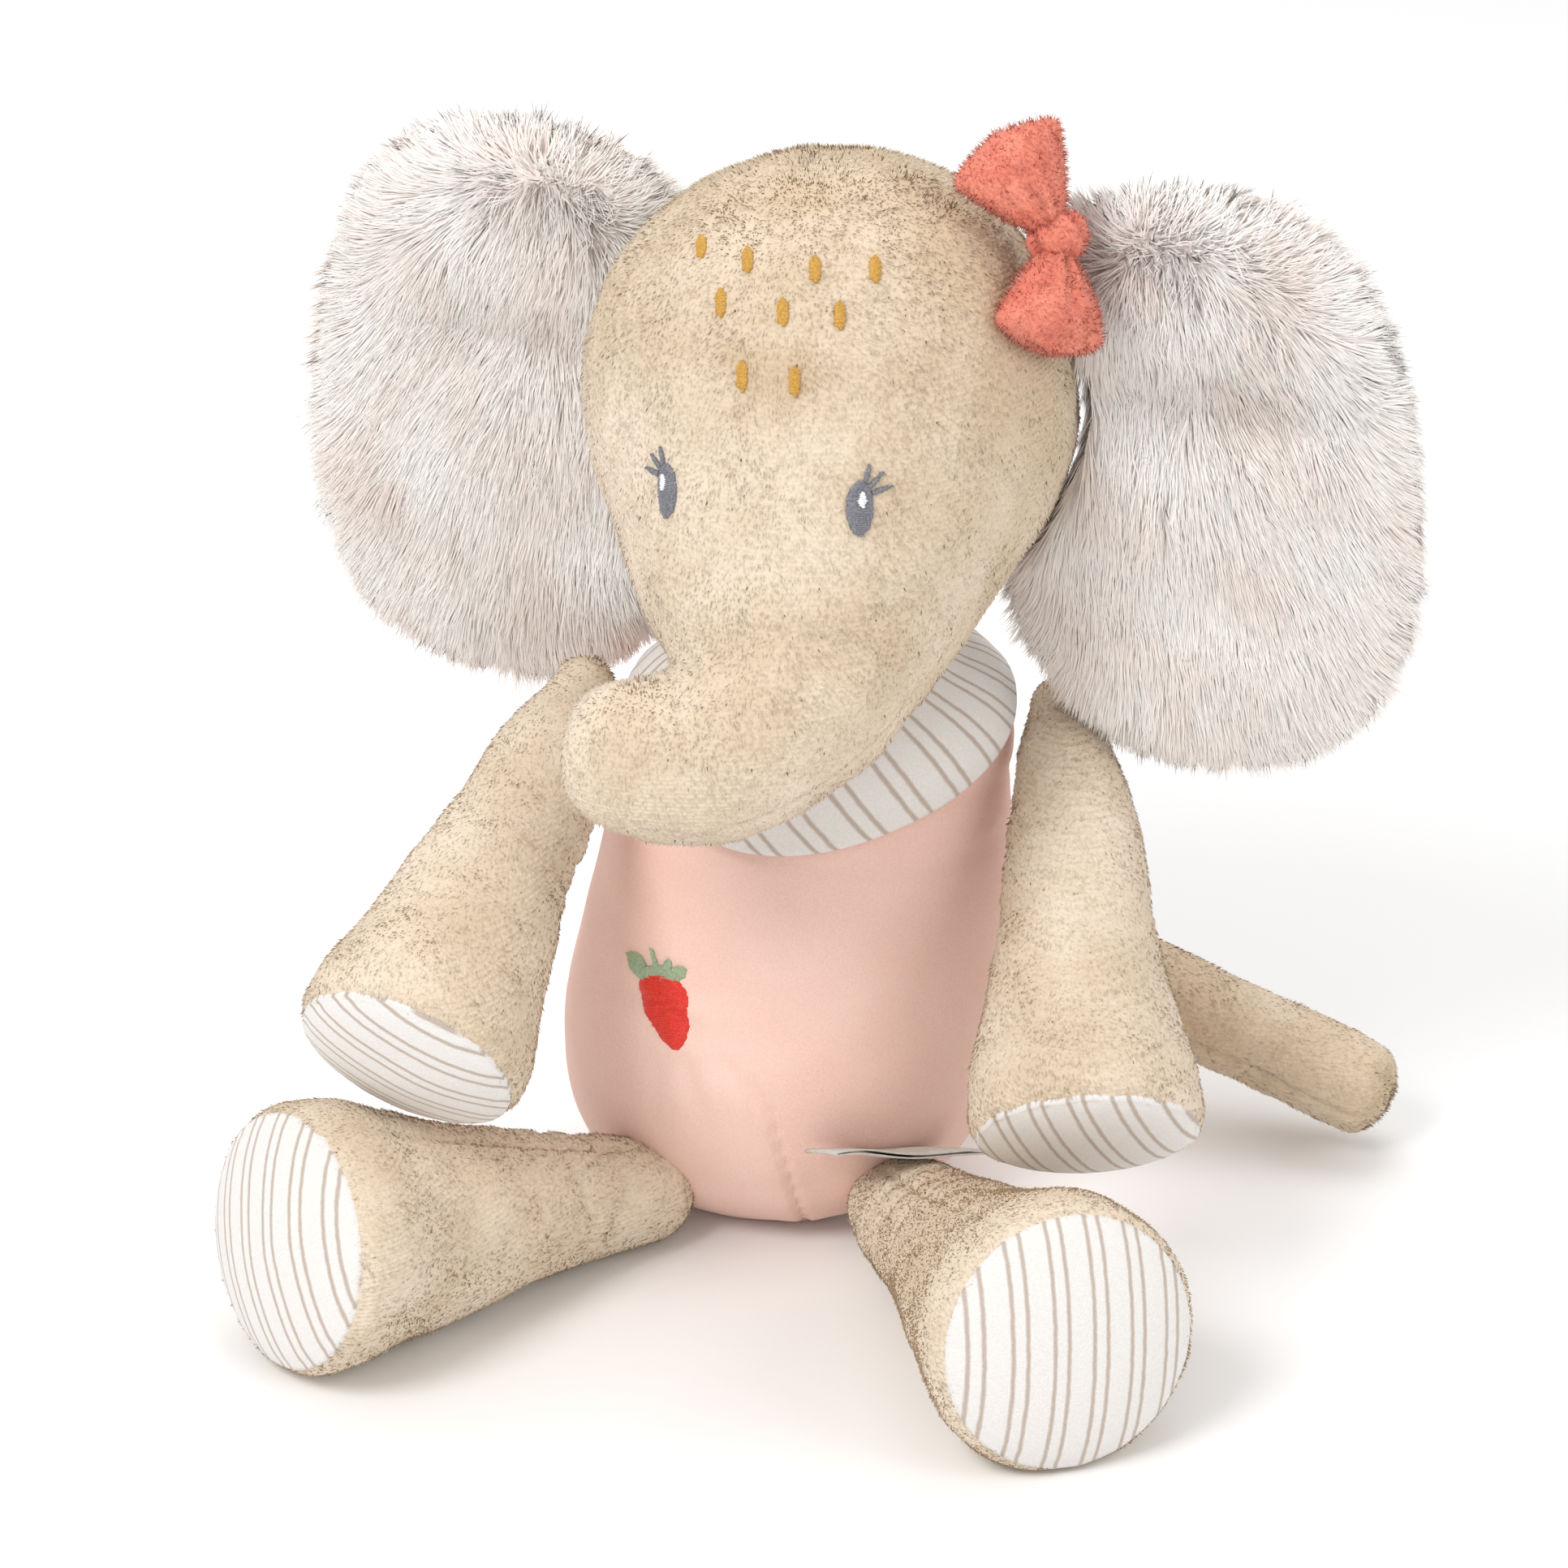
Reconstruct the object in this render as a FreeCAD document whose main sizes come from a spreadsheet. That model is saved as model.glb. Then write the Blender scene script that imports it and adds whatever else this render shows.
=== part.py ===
"""Sitting plush elephant, modelled the way it is sewn: fabric panels over fibre filling.

Units are millimetres. +Z is up, the elephant faces -Y, and +X is the elephant's own left.
The origin is the middle of the flat seat, on the surface that the toy sits on.
"""
import FreeCAD, Part
import Sketcher
import math
import os

Vector = FreeCAD.Vector
Rotation = FreeCAD.Rotation
Placement = FreeCAD.Placement

doc = FreeCAD.newDocument("plush_elephant")

# ---------------------------------------------------------------- driving dimensions
SIZES = [
    # shared by every sewn piece
    ("fabric", 1.2), ("fill_gap", 0.25), ("stitch_height", 0.8), ("trim_gap", 0.1),
    ("body_gap", 0.6), ("seam_gap", 0.05),
    # torso: half width, half depth and height of each level, from the seat up
    ("seat_width", 24.0), ("seat_depth", 20.0),
    ("rump_level", 6.0), ("rump_width", 34.0), ("rump_depth", 29.0),
    ("hip_level", 18.0), ("hip_width", 43.0), ("hip_depth", 36.5),
    ("belly_level", 36.0), ("belly_width", 47.0), ("belly_depth", 41.0),
    ("waist_level", 62.0), ("waist_width", 45.0), ("waist_depth", 39.0),
    ("chest_level", 92.0), ("chest_width", 41.0), ("chest_depth", 33.5),
    ("shoulder_level", 112.0), ("shoulder_width", 38.5), ("shoulder_depth", 27.5),
    ("neck_level", 129.0), ("neck_width", 18.0), ("neck_depth", 15.0),
    ("torso_back", 4.0), ("torso_lean", 0.082),
    # scarf that lies on the shoulders
    ("scarf_thickness", 3.0), ("scarf_top", 122.5), ("scarf_front_drop", 92.0), ("scarf_slope", 34.0),
    ("scarf_turn", -14.0),
    # head: a teardrop about an axis from the skull to the trunk
    ("head_x", 11.0), ("head_y", -8.0), ("head_z", 182.0),
    ("skull_radius", 49.5), ("snout_length", 54.0), ("snout_radius", 26.0),
    ("snout_yaw", 8.5), ("snout_droop", 41.6), ("face_yaw", 18.0),
    # trunk: an arc that starts along the snout and turns to the elephant's right
    ("trunk_bend_radius", 28.0), ("trunk_bend", 92.0), ("trunk_roll", 0.0),
    ("trunk_tip_radius", 14.5), ("trunk_end", 13.0), ("trunk_clear", 9.0),
    # ears
    ("ear_half_width", 43.0), ("ear_half_height", 60.0), ("ear_thickness", 15.0), ("ear_round", 6.0),
    ("ear_fur", 4.0), ("ear_backing", 3.0), ("ear_reach", 72.0), ("ear_drop", 15.0),
    ("ear_back", 15.0), ("ear_tilt", 7.0), ("ear_gap", 0.8),
    # arms
    ("arm_length", 92.0), ("shoulder_radius", 6.5), ("elbow_radius", 15.5), ("hand_radius", 23.5),
    ("hand_pad_radius", 21.5), ("hand_pad_bulge", 3.8),
    # legs
    ("leg_length", 88.0), ("hip_radius", 11.0), ("knee_radius", 19.0), ("foot_radius", 27.5),
    ("foot_pad_radius", 25.0), ("foot_pad_bulge", 6.0),
    # tail
    ("tail_length", 130.0), ("tail_radius", 10.5), ("tail_tip_radius", 7.0),
    # trim
    ("eye_width", 5.0), ("eye_height", 10.5), ("lash_length", 4.4), ("lash_width", 0.7),
    ("highlight_width", 2.0), ("highlight_height", 3.2),
    ("dash_width", 2.6), ("dash_height", 6.0),
    ("berry_width", 10.6), ("berry_height", 13.0), ("leaf_length", 6.4), ("leaf_width", 3.2),
    ("bow_length", 20.0), ("bow_width", 27.0), ("bow_thickness", 10.0), ("knot_size", 10.0),
    ("label_length", 38.0), ("label_width", 13.0), ("label_thickness", 0.8),
]

dims = doc.addObject("Spreadsheet::Sheet", "dims")
for row, (alias, number) in enumerate(SIZES, start=1):
    dims.set("A%d" % row, alias)
    dims.set("B%d" % row, str(number))
    dims.setAlias("B%d" % row, alias)
doc.recompute()


def size(alias):
    """The number in the sheet's cell of that name."""
    return float(dims.get(alias))


# Where each limb is sewn on, and the direction that it points in.
SHOULDERS = {"right": Vector(-39, 0, 115), "left": Vector(58.5, -1, 111)}
HANDS = {"right": Vector(-72.5, -70.6, 66.5), "left": Vector(62, -68, 49)}
HIPS = {"right": Vector(-28, -24, 11.5), "left": Vector(26, -31, 11.5)}
FEET = {"right": Vector(-97, -76, 28.8), "left": Vector(60.5, -122, 28.8)}
TAIL_ROOT = Vector(15, 57.5, 52)
TAIL_TIP = Vector(134, 13, 11.5)
LABEL_ROOT = Vector(38.6, -24, 20.6)

kept = []


def keep(piece, label, placement=None):
    """Mark a piece as a sub-part: its label names its file."""
    piece.Label = label
    if placement is not None:
        piece.Placement = placement
    kept.append(piece)
    return piece


def along(start, direction, side=Vector(1, 0, 0)):
    """Placement at start whose +Z is the direction and whose +X is as near to side as it can be."""
    z_axis = Vector(direction).normalize()
    x_axis = Vector(side) - z_axis * side.dot(z_axis)
    return Placement(start, Rotation(x_axis.normalize(), z_axis.cross(x_axis), z_axis, "ZXY"))


def bound(type_name, name, **cells):
    """A document object whose properties follow the sheet."""
    thing = doc.addObject(type_name, name)
    for prop, formula in cells.items():
        thing.setExpression(prop, formula)
    return thing


def boolean(kind, name, base, tool):
    """Cut or Common of two objects."""
    thing = doc.addObject("Part::" + kind, name)
    thing.Base = base
    thing.Tool = tool
    return thing


def block(name, low, high, placement=None):
    """A box between two corners, used to divide a shell into its panels."""
    thing = doc.addObject("Part::Box", name)
    thing.Length, thing.Width, thing.Height = high - low
    shift = Placement(low, Rotation())
    thing.Placement = placement.multiply(shift) if placement else shift
    return thing


def tube(name, stations, inset="0", open_end=False):
    """A round lofted body along +Z. Each station is (height, radius), as formulas."""
    rings = []
    last = len(stations) - 1
    for index, (height, radius) in enumerate(stations):
        ring = bound("Part::Circle", "%s_ring%d" % (name, index), Radius="%s - %s" % (radius, inset))
        if index == 0:
            height = "%s + %s" % (height, inset)
        elif index == last:
            height = "%s + 1" % height if open_end else "%s - %s" % (height, inset)
        ring.setExpression(".Placement.Base.z", height)
        rings.append(ring)
    body = doc.addObject("Part::Loft", name)
    body.Sections = rings
    body.Solid = True
    return body


def shell_and_fill(name, make):
    """Outer body, the fabric wall around the filling, and the filling, from one making function."""
    outer = make(name + "_outer", "0 * dims.fabric")
    cavity = make(name + "_cavity", "dims.fabric")
    fill = make(name + "_fill", "dims.fabric + dims.fill_gap")
    return outer, boolean("Cut", name + "_wall", outer, cavity), fill


# ---------------------------------------------------------------- torso
TORSO_LEVELS = ["seat", "rump", "hip", "belly", "waist", "chest", "shoulder", "neck"]


def torso_loft(name, inset, grow_ends=False):
    """The torso's outer form, drawn in by the inset on every side."""
    rings = []
    for index, level in enumerate(TORSO_LEVELS):
        height = "0" if level == "seat" else "dims.%s_level" % level
        ring = bound("Part::Ellipse", "%s_%s" % (name, level),
                     MajorRadius="dims.%s_width - (%s)" % (level, inset),
                     MinorRadius="dims.%s_depth - (%s)" % (level, inset))
        shift = ""
        if index == 0 and not grow_ends:
            shift = " + (%s)" % inset
        elif index == len(TORSO_LEVELS) - 1 and not grow_ends:
            shift = " - (%s)" % inset
        ring.setExpression(".Placement.Base.z", height + shift)
        ring.setExpression(".Placement.Base.x", "(%s) * dims.torso_lean" % height)
        ring.setExpression(".Placement.Base.y", "dims.torso_back")
        rings.append(ring)
    body = doc.addObject("Part::Loft", name)
    body.Sections = rings
    body.Solid = True
    return body


def with_hip_sockets(name, solid, wall):
    """The solid hollowed where the legs' rounded ends tuck into the torso."""
    for side, centre in HIPS.items():
        ball = bound("Part::Sphere", "%s_ball_%s" % (name, side),
                     Radius="dims.hip_radius * 1.28 + dims.body_gap + %s" % wall)
        ball.Placement = Placement(centre, Rotation(Vector(0, 0, 1), FEET[side] - centre))
        solid = boolean("Cut", "%s_%s" % (name, side), solid, ball)
    return solid


def make_torso():
    """Front and back velour panels, the filling and the scarf."""
    layers = []
    for name, inset in (("outer", "0"), ("cavity", "dims.fabric"), ("fill", "dims.fabric + dims.fill_gap")):
        solid = torso_loft("torso_" + name, inset)
        layers.append(with_hip_sockets("torso_%s_socket" % name, solid, inset))
    outer, cavity, fill = layers
    wall = boolean("Cut", "torso_wall", outer, cavity)
    seam = size("torso_back")
    gap = size("seam_gap")
    front = block("torso_front_space", Vector(-90, -90, -5), Vector(90, seam - gap, 150))
    back = block("torso_back_space", Vector(-90, seam + gap, -5), Vector(90, 90, 150))
    keep(boolean("Common", "torso_front", wall, front), "torso_front_panel")
    keep(boolean("Common", "torso_rear", wall, back), "torso_back_panel")
    keep(fill, "torso_stuffing")

    over = torso_loft("scarf_over", "0 - dims.scarf_thickness - dims.trim_gap * 3", True)
    under = torso_loft("scarf_under", "0 - dims.trim_gap * 3", True)
    ring = boolean("Cut", "scarf_ring", over, under)
    turn = Rotation(Vector(0, 0, 1), size("scarf_turn"))
    slope = Rotation(Vector(1, 0, 0), size("scarf_slope"))
    hinge = Vector(0, size("torso_back") - size("chest_depth"), size("scarf_front_drop"))
    lift = Placement(hinge, turn.multiply(slope))
    above_hem = block("scarf_above_hem", Vector(-90, -30, 0), Vector(90, 150, 90), lift)
    below_top = block("scarf_below_top", Vector(-90, -90, 60), Vector(90, 90, size("scarf_top")))
    slanted = boolean("Common", "scarf_slanted", ring, above_hem)
    keep(boolean("Common", "scarf", slanted, below_top), "neck_scarf")


# ---------------------------------------------------------------- head and trunk
def head_frame():
    """Placement of the head: +Z points up, and the face looks along -Y before it is turned."""
    centre = Vector(size("head_x"), size("head_y"), size("head_z"))
    return Placement(centre, Rotation(Vector(0, 0, 1), -size("face_yaw")))


def snout_direction():
    """Unit vector from the skull to the root of the trunk."""
    yaw = math.radians(size("snout_yaw"))
    droop = math.radians(size("snout_droop"))
    return Vector(-math.sin(yaw) * math.cos(droop), -math.cos(yaw) * math.cos(droop), -math.sin(droop))


def head_loft(name, inset):
    """Teardrop about the local +Z: round skull at the origin, and the snout towards +Z."""
    skull = "dims.skull_radius"
    snout = "dims.snout_length"
    stations = [("0 - %s * 0.98" % skull, "%s * 0.24" % skull), ("0 - %s * 0.8" % skull, "%s * 0.61" % skull),
                ("0 - %s * 0.42" % skull, "%s * 0.91" % skull), ("0", skull),
                ("%s * 0.28" % snout, "%s * 0.955" % skull), ("%s * 0.56" % snout, "%s * 0.81" % skull),
                ("%s * 0.8" % snout, "dims.snout_radius * 1.27"), (snout, "dims.snout_radius")]
    rings = []
    for index, (height, radius) in enumerate(stations):
        ring = bound("Part::Circle", "%s_ring%d" % (name, index), Radius="%s - (%s)" % (radius, inset))
        shift = " + (%s)" % inset if index == 0 else ""
        ring.setExpression(".Placement.Base.z", height + shift)
        rings.append(ring)
    body = doc.addObject("Part::Loft", name)
    body.Sections = rings
    body.Solid = True
    return body


def make_head():
    """Face, back and chin panels around the filling, hollowed where the trunk's root turns."""
    outer, wall, fill = shell_and_fill("head", head_loft)
    root = Placement(Vector(0, 0, size("snout_length")), Rotation())
    ball = bound("Part::Sphere", "trunk_socket", Radius="dims.snout_radius + dims.body_gap")
    ball.Placement = root
    wide_ball = bound("Part::Sphere", "trunk_socket_wall",
                      Radius="dims.snout_radius + dims.body_gap + dims.fabric")
    wide_ball.Placement = root
    end = size("snout_length") - size("trunk_clear")
    reach = 2 * size("skull_radius")
    clear = block("trunk_room", Vector(-reach, -reach, end), Vector(reach, reach, end + reach))
    fill_end = size("fabric") + size("fill_gap")
    clear_fill = block("trunk_room_fill", Vector(-reach, -reach, end - fill_end), Vector(reach, reach, end + reach))
    short_wall = boolean("Cut", "head_wall_short", boolean("Cut", "head_wall_socket", wall, ball), clear)
    short_fill = boolean("Cut", "head_fill_short", boolean("Cut", "head_fill_socket", fill, wide_ball), clear_fill)

    place = along(Vector(size("head_x"), size("head_y"), size("head_z")), snout_direction())
    gap = size("seam_gap")
    chin_start = size("skull_radius") * 0.42
    face_space = block("face_space", Vector(-reach, -reach, gap), Vector(reach, chin_start - gap, reach))
    chin_space = block("chin_space", Vector(-reach, chin_start + gap, gap), Vector(reach, reach, reach))
    back_space = block("head_back_space", Vector(-reach, -reach, -reach), Vector(reach, reach, -gap))
    for label, space in (("head_face_panel", face_space), ("head_chin_gusset", chin_space),
                         ("head_back_panel", back_space)):
        keep(boolean("Common", label + "_common", short_wall, space), label, place)
    keep(short_fill, "head_stuffing", place)


def trunk_loft(name, inset):
    """Arc of round sections from the trunk's root at the origin, bending towards +X."""
    rings = []
    steps = 4
    tapers = [1.0, 0.6835, 0.4122, 0.2087, 0]
    bend = size("trunk_bend")
    for index in range(steps + 1):
        share = index / steps
        radius = "dims.trunk_tip_radius + (dims.snout_radius - dims.trunk_tip_radius) * %g" % tapers[index]
        ring = bound("Part::Circle", "%s_ring%d" % (name, index), Radius="%s - (%s)" % (radius, inset))
        angle = math.radians(bend * share)
        bend_radius = size("trunk_bend_radius")
        spot = Vector(bend_radius * (1 - math.cos(angle)), 0, bend_radius * math.sin(angle))
        ring.Placement = Placement(spot, Rotation(Vector(0, 1, 0), bend * share))
        rings.append(ring)
    tip = rings[-1].Placement
    for index, (reach, share) in enumerate(((0.62, 0.84), (1.0, 0.42))):
        ring = bound("Part::Circle", "%s_tip%d" % (name, index),
                     Radius="dims.trunk_tip_radius * %g - (%s)" % (share, inset))
        back = 0 if index == 0 else (0 if inset.startswith("0") else size("fabric"))
        ring.Placement = tip.multiply(Placement(Vector(0, 0, size("trunk_end") * reach - back), Rotation()))
        rings.append(ring)
    body = doc.addObject("Part::Loft", name)
    body.Sections = rings
    body.Solid = True
    return body


def make_trunk():
    """Upper and lower trunk panels, and the filling with the ball that turns in the head."""
    outer, wall, fill = shell_and_fill("trunk", trunk_loft)
    root = Vector(size("head_x"), size("head_y"), size("head_z")) + snout_direction() * size("snout_length")
    # The arc bends towards the elephant's right and a little up.
    place = along(root, snout_direction(), Vector(-1, 0.02, 0.12))
    turned = Placement(Vector(), Rotation(Vector(0, 0, 1), size("trunk_roll")))
    place = place.multiply(turned)
    gap = size("seam_gap")
    reach = 90
    upper = block("trunk_upper_space", Vector(-reach, -reach, -reach), Vector(reach, -gap, reach))
    lower = block("trunk_lower_space", Vector(-reach, gap, -reach), Vector(reach, reach, reach))
    keep(boolean("Common", "trunk_upper", wall, upper), "trunk_top_panel", place)
    keep(boolean("Common", "trunk_lower", wall, lower), "trunk_underside_panel", place)
    knuckle = bound("Part::Sphere", "trunk_knuckle", Radius="dims.snout_radius - dims.body_gap")
    beyond = block("trunk_knuckle_space", Vector(-reach, -reach, -reach), Vector(reach, reach, -gap))
    half = boolean("Common", "trunk_knuckle_half", knuckle, beyond)
    keep(half, "trunk_root_stuffing", place)
    keep(fill, "trunk_stuffing", place)


# ---------------------------------------------------------------- ears
def oval_across(name, height, width, depth):
    """Ellipse that stands in XZ at a depth along Y."""
    oval = bound("Part::Ellipse", name, MajorRadius=height, MinorRadius=width)
    oval.Placement = Placement(Vector(0, depth, 0), Rotation(Vector(0, 0, 1), Vector(), Vector(0, 1, 0), "XZY"))
    return oval


def ear_half(name, levels):
    """Oval slab with a rounded rim; each level is a depth and its share of the rim's rounding."""
    sections = []
    for index, (depth, tuck) in enumerate(levels):
        rim = " - dims.ear_round * %g" % tuck
        sections.append(oval_across("%s_oval%d" % (name, index), "dims.ear_half_height" + rim,
                                    "dims.ear_half_width" + rim, depth))
    slab = doc.addObject("Part::Loft", name)
    slab.Sections = sections
    slab.Solid = True
    return slab


def ear_plate(name, inset, low, high):
    """Oval slab between two depths, drawn in from the ear's rim."""
    slab = doc.addObject("Part::Extrusion", name)
    slab.Base = oval_across(name + "_oval", "dims.ear_half_height - (%s)" % inset,
                            "dims.ear_half_width - (%s)" % inset, low)
    slab.DirMode = "Custom"
    slab.Dir = Vector(0, 1, 0)
    slab.LengthFwd = high - low
    slab.Solid = True
    return slab


def make_ear(side):
    """Fur front, backing panel and wadding of one ear."""
    sign = -1 if side == "right" else 1
    half = size("ear_thickness") / 2
    seam = half - size("ear_backing")
    slack = size("fill_gap")
    fur = ear_half(side + "_ear_fur", ((-half, 1.0), (-0.72 * half, 0.3), (-0.25 * half, 0.0), (seam, 0.0)))
    backing = ear_half(side + "_ear_backing", ((seam + size("seam_gap"), 0.0), (half, 1.0)))
    pocket = ear_plate(side + "_ear_pocket", "dims.ear_fur", size("ear_fur") - half, half)
    wadding = ear_plate(side + "_ear_fill", "dims.ear_fur + dims.fill_gap", size("ear_fur") - half + slack,
                        seam - slack)

    spot = Vector(sign * size("ear_reach"), size("ear_back"), -size("ear_drop"))
    lean = Rotation(Vector(0, 1, 0), -sign * size("ear_tilt"))
    in_head = Placement(spot, lean)
    place = head_frame().multiply(in_head)
    skull_in_ear = in_head.inverse().multVec(Vector())
    through = Placement(skull_in_ear + Vector(0, 60, 0), Rotation(Vector(0, 0, sign), Vector(), Vector(0, -1, 0), "ZXY"))
    notches = []
    for name, wall in (("outer", "0"), ("inner", "dims.ear_fur"), ("fill", "dims.ear_fur + dims.fill_gap")):
        notch = bound("Part::Cylinder", "%s_ear_%s_notch" % (side, name),
                      Radius="dims.skull_radius + dims.ear_gap + " + wall)
        notch.Height = 120
        notch.Placement = through
        notches.append(notch)
    clear, wide, core = notches
    shaped = boolean("Cut", side + "_ear_fur_shaped", fur, clear)
    hollow = boolean("Cut", side + "_ear_hollow", pocket, wide)
    keep(boolean("Cut", side + "_ear_fur_cup", shaped, hollow), side + "_ear_fur_front", place)
    keep(boolean("Cut", side + "_ear_backing_shaped", backing, clear), side + "_ear_back_panel", place)
    keep(boolean("Cut", side + "_ear_core", wadding, core), side + "_ear_wadding", place)


# ---------------------------------------------------------------- limbs
def pad_body(name, radius, crown):
    """Domed end panel: a revolved lens that lies on the XY plane."""
    body = doc.addObject("PartDesign::Body", name)
    sketch = body.newObject("Sketcher::SketchObject", name + "_profile")
    plane = [item for item in body.Origin.OriginFeatures if item.Role == "XZ_Plane"][0]
    sketch.AttachmentSupport = [(plane, "")]
    sketch.MapMode = "FlatFace"
    width, rim, top = size(radius), size("fabric"), size("fabric") + size(crown)
    bulge = top - rim
    dome_radius = (width * width + bulge * bulge) / (2 * bulge)
    dome_circle = Part.Circle(Vector(0, top - dome_radius, 0), Vector(0, 0, 1), dome_radius)
    rim_angle = math.atan2(rim - top + dome_radius, width)
    base = sketch.addGeometry(Part.LineSegment(Vector(0, 0, 0), Vector(width, 0, 0)))
    edge = sketch.addGeometry(Part.LineSegment(Vector(width, 0, 0), Vector(width, rim, 0)))
    dome = sketch.addGeometry(Part.ArcOfCircle(dome_circle, rim_angle, math.pi / 2))
    axis = sketch.addGeometry(Part.LineSegment(Vector(0, top, 0), Vector(0, 0, 0)))
    start, end, centre = 1, 2, 3
    vertical_axis = -2
    add = sketch.addConstraint
    rule = Sketcher.Constraint
    add(rule("Coincident", base, start, -1, 1))
    add(rule("Horizontal", base))
    add(rule("Coincident", base, end, edge, start))
    add(rule("Vertical", edge))
    add(rule("Coincident", edge, end, dome, start))
    add(rule("Coincident", dome, end, axis, start))
    add(rule("PointOnObject", dome, centre, vertical_axis))
    add(rule("Coincident", axis, end, base, start))
    driving = (("width", add(rule("DistanceX", base, start, base, end, width)), "dims." + radius),
               ("rim", add(rule("DistanceY", edge, start, edge, end, rim)), "dims.fabric"),
               ("crown", add(rule("DistanceY", axis, end, axis, start, top)), "dims.fabric + dims." + crown))
    for label, index, formula in driving:
        sketch.renameConstraint(index, label)
        sketch.setExpression("Constraints." + label, formula)
    turn = body.newObject("PartDesign::Revolution", name + "_turn")
    turn.Profile = sketch
    turn.ReferenceAxis = (sketch, ["V_Axis"])
    turn.Angle = 360
    return body


def make_limb(side, kind, start, finish, stations, end_name):
    """Sleeve, end pad and filling of an arm or a leg."""
    name = "%s_%s" % (side, kind)
    outer = tube(name + "_outer", stations)
    cavity = tube(name + "_cavity", stations, "dims.fabric", True)
    fill = tube(name + "_fill", stations, "(dims.fabric + dims.fill_gap)")
    place = along(start, finish - start)
    keep(boolean("Cut", name + "_wall", outer, cavity), name + "_sleeve", place)
    keep(fill, name + "_stuffing", place)
    length = size(kind + "_length")
    pad = pad_body(name + "_pad", end_name + "_pad_radius", end_name + "_pad_bulge")
    keep(pad, name + "_pad", place.multiply(Placement(Vector(0, 0, length + size("trim_gap")), Rotation())))


ARM_STATIONS = [("0 - dims.shoulder_radius", "dims.shoulder_radius * 0.62"),
                ("0", "dims.shoulder_radius"),
                ("dims.arm_length * 0.28", "dims.elbow_radius * 0.84"),
                ("dims.arm_length * 0.5", "dims.elbow_radius"),
                ("dims.arm_length * 0.72", "(dims.elbow_radius + dims.hand_radius) / 2"),
                ("dims.arm_length * 0.92", "dims.hand_radius"),
                ("dims.arm_length", "dims.hand_radius - 0.8")]
LEG_STATIONS = [("0 - dims.hip_radius", "dims.hip_radius * 0.5"),
                ("0", "dims.hip_radius"),
                ("dims.leg_length * 0.3", "(dims.hip_radius + dims.knee_radius) / 2"),
                ("dims.leg_length * 0.52", "dims.knee_radius"),
                ("dims.leg_length * 0.75", "(dims.knee_radius + dims.foot_radius) / 2 + 0.9"),
                ("dims.leg_length * 0.92", "dims.foot_radius"),
                ("dims.leg_length", "dims.foot_radius - 1")]


def make_tail():
    """Plain stuffed tube with a rounded tip."""
    stations = [("0 - dims.tail_radius * 0.7", "dims.tail_radius * 0.6"), ("0", "dims.tail_radius")]
    for share in (0.2, 0.4, 0.6, 0.8, 0.94):
        stations.append(("dims.tail_length * %g" % share, "dims.tail_radius"))
    stations.append(("dims.tail_length", "dims.tail_tip_radius"))
    outer = tube("tail_outer", stations)
    cavity = tube("tail_cavity", stations, "dims.fabric")
    fill = tube("tail_fill", stations, "(dims.fabric + dims.fill_gap)")
    place = along(TAIL_ROOT, TAIL_TIP - TAIL_ROOT)
    keep(boolean("Cut", "tail_wall", outer, cavity), "tail_sleeve", place)
    keep(fill, "tail_stuffing", place)


# ---------------------------------------------------------------- trim
def on_skin(solid, inside, outward, lift):
    """Placement on a solid's skin where a ray leaves it: +Z is the skin's normal, and +X is level."""
    ray = Part.LineSegment(inside, inside + outward * 200).toShape()
    spot = max((vertex.Point for vertex in solid.common(ray).Vertexes), key=inside.distanceToPoint)
    face = min(solid.Faces, key=lambda item: item.distToShape(Part.Vertex(spot))[0])
    normal = face.normalAt(*face.Surface.parameter(spot))
    if normal.dot(outward) < 0:
        normal = -normal
    return along(spot + normal * lift, normal)


def on_head(azimuth, rise, lift):
    """Placement on the head. Azimuth turns from the face towards the elephant's left."""
    turn = math.radians(azimuth)
    tilt = math.radians(rise)
    outward = Vector(math.sin(turn) * math.cos(tilt), -math.cos(turn) * math.cos(tilt), math.sin(tilt))
    frame = head_frame()
    return on_skin(head_solid, frame.Base, frame.Rotation.multVec(outward), lift)


def stitched_oval(name, width, height):
    """Flat embroidered oval: an ellipse padded by the height of the stitches."""
    tall = size(height) >= size(width)
    major, minor = (height, width) if tall else (width, height)
    oval = bound("Part::Ellipse", name + "_oval", MajorRadius="dims.%s / 2" % major,
                 MinorRadius="dims.%s / 2" % minor)
    if tall:
        oval.Placement = Placement(Vector(), Rotation(Vector(0, 0, 1), 90))
    solid = bound("Part::Extrusion", name, LengthFwd="dims.stitch_height")
    solid.Base = oval
    solid.DirMode = "Custom"
    solid.Dir = Vector(0, 0, 1)
    solid.Solid = True
    return solid


def group(label, pieces):
    """Several separate solids kept as one node."""
    thing = doc.addObject("Part::Compound", label)
    thing.Links = pieces
    keep(thing, label)


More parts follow.
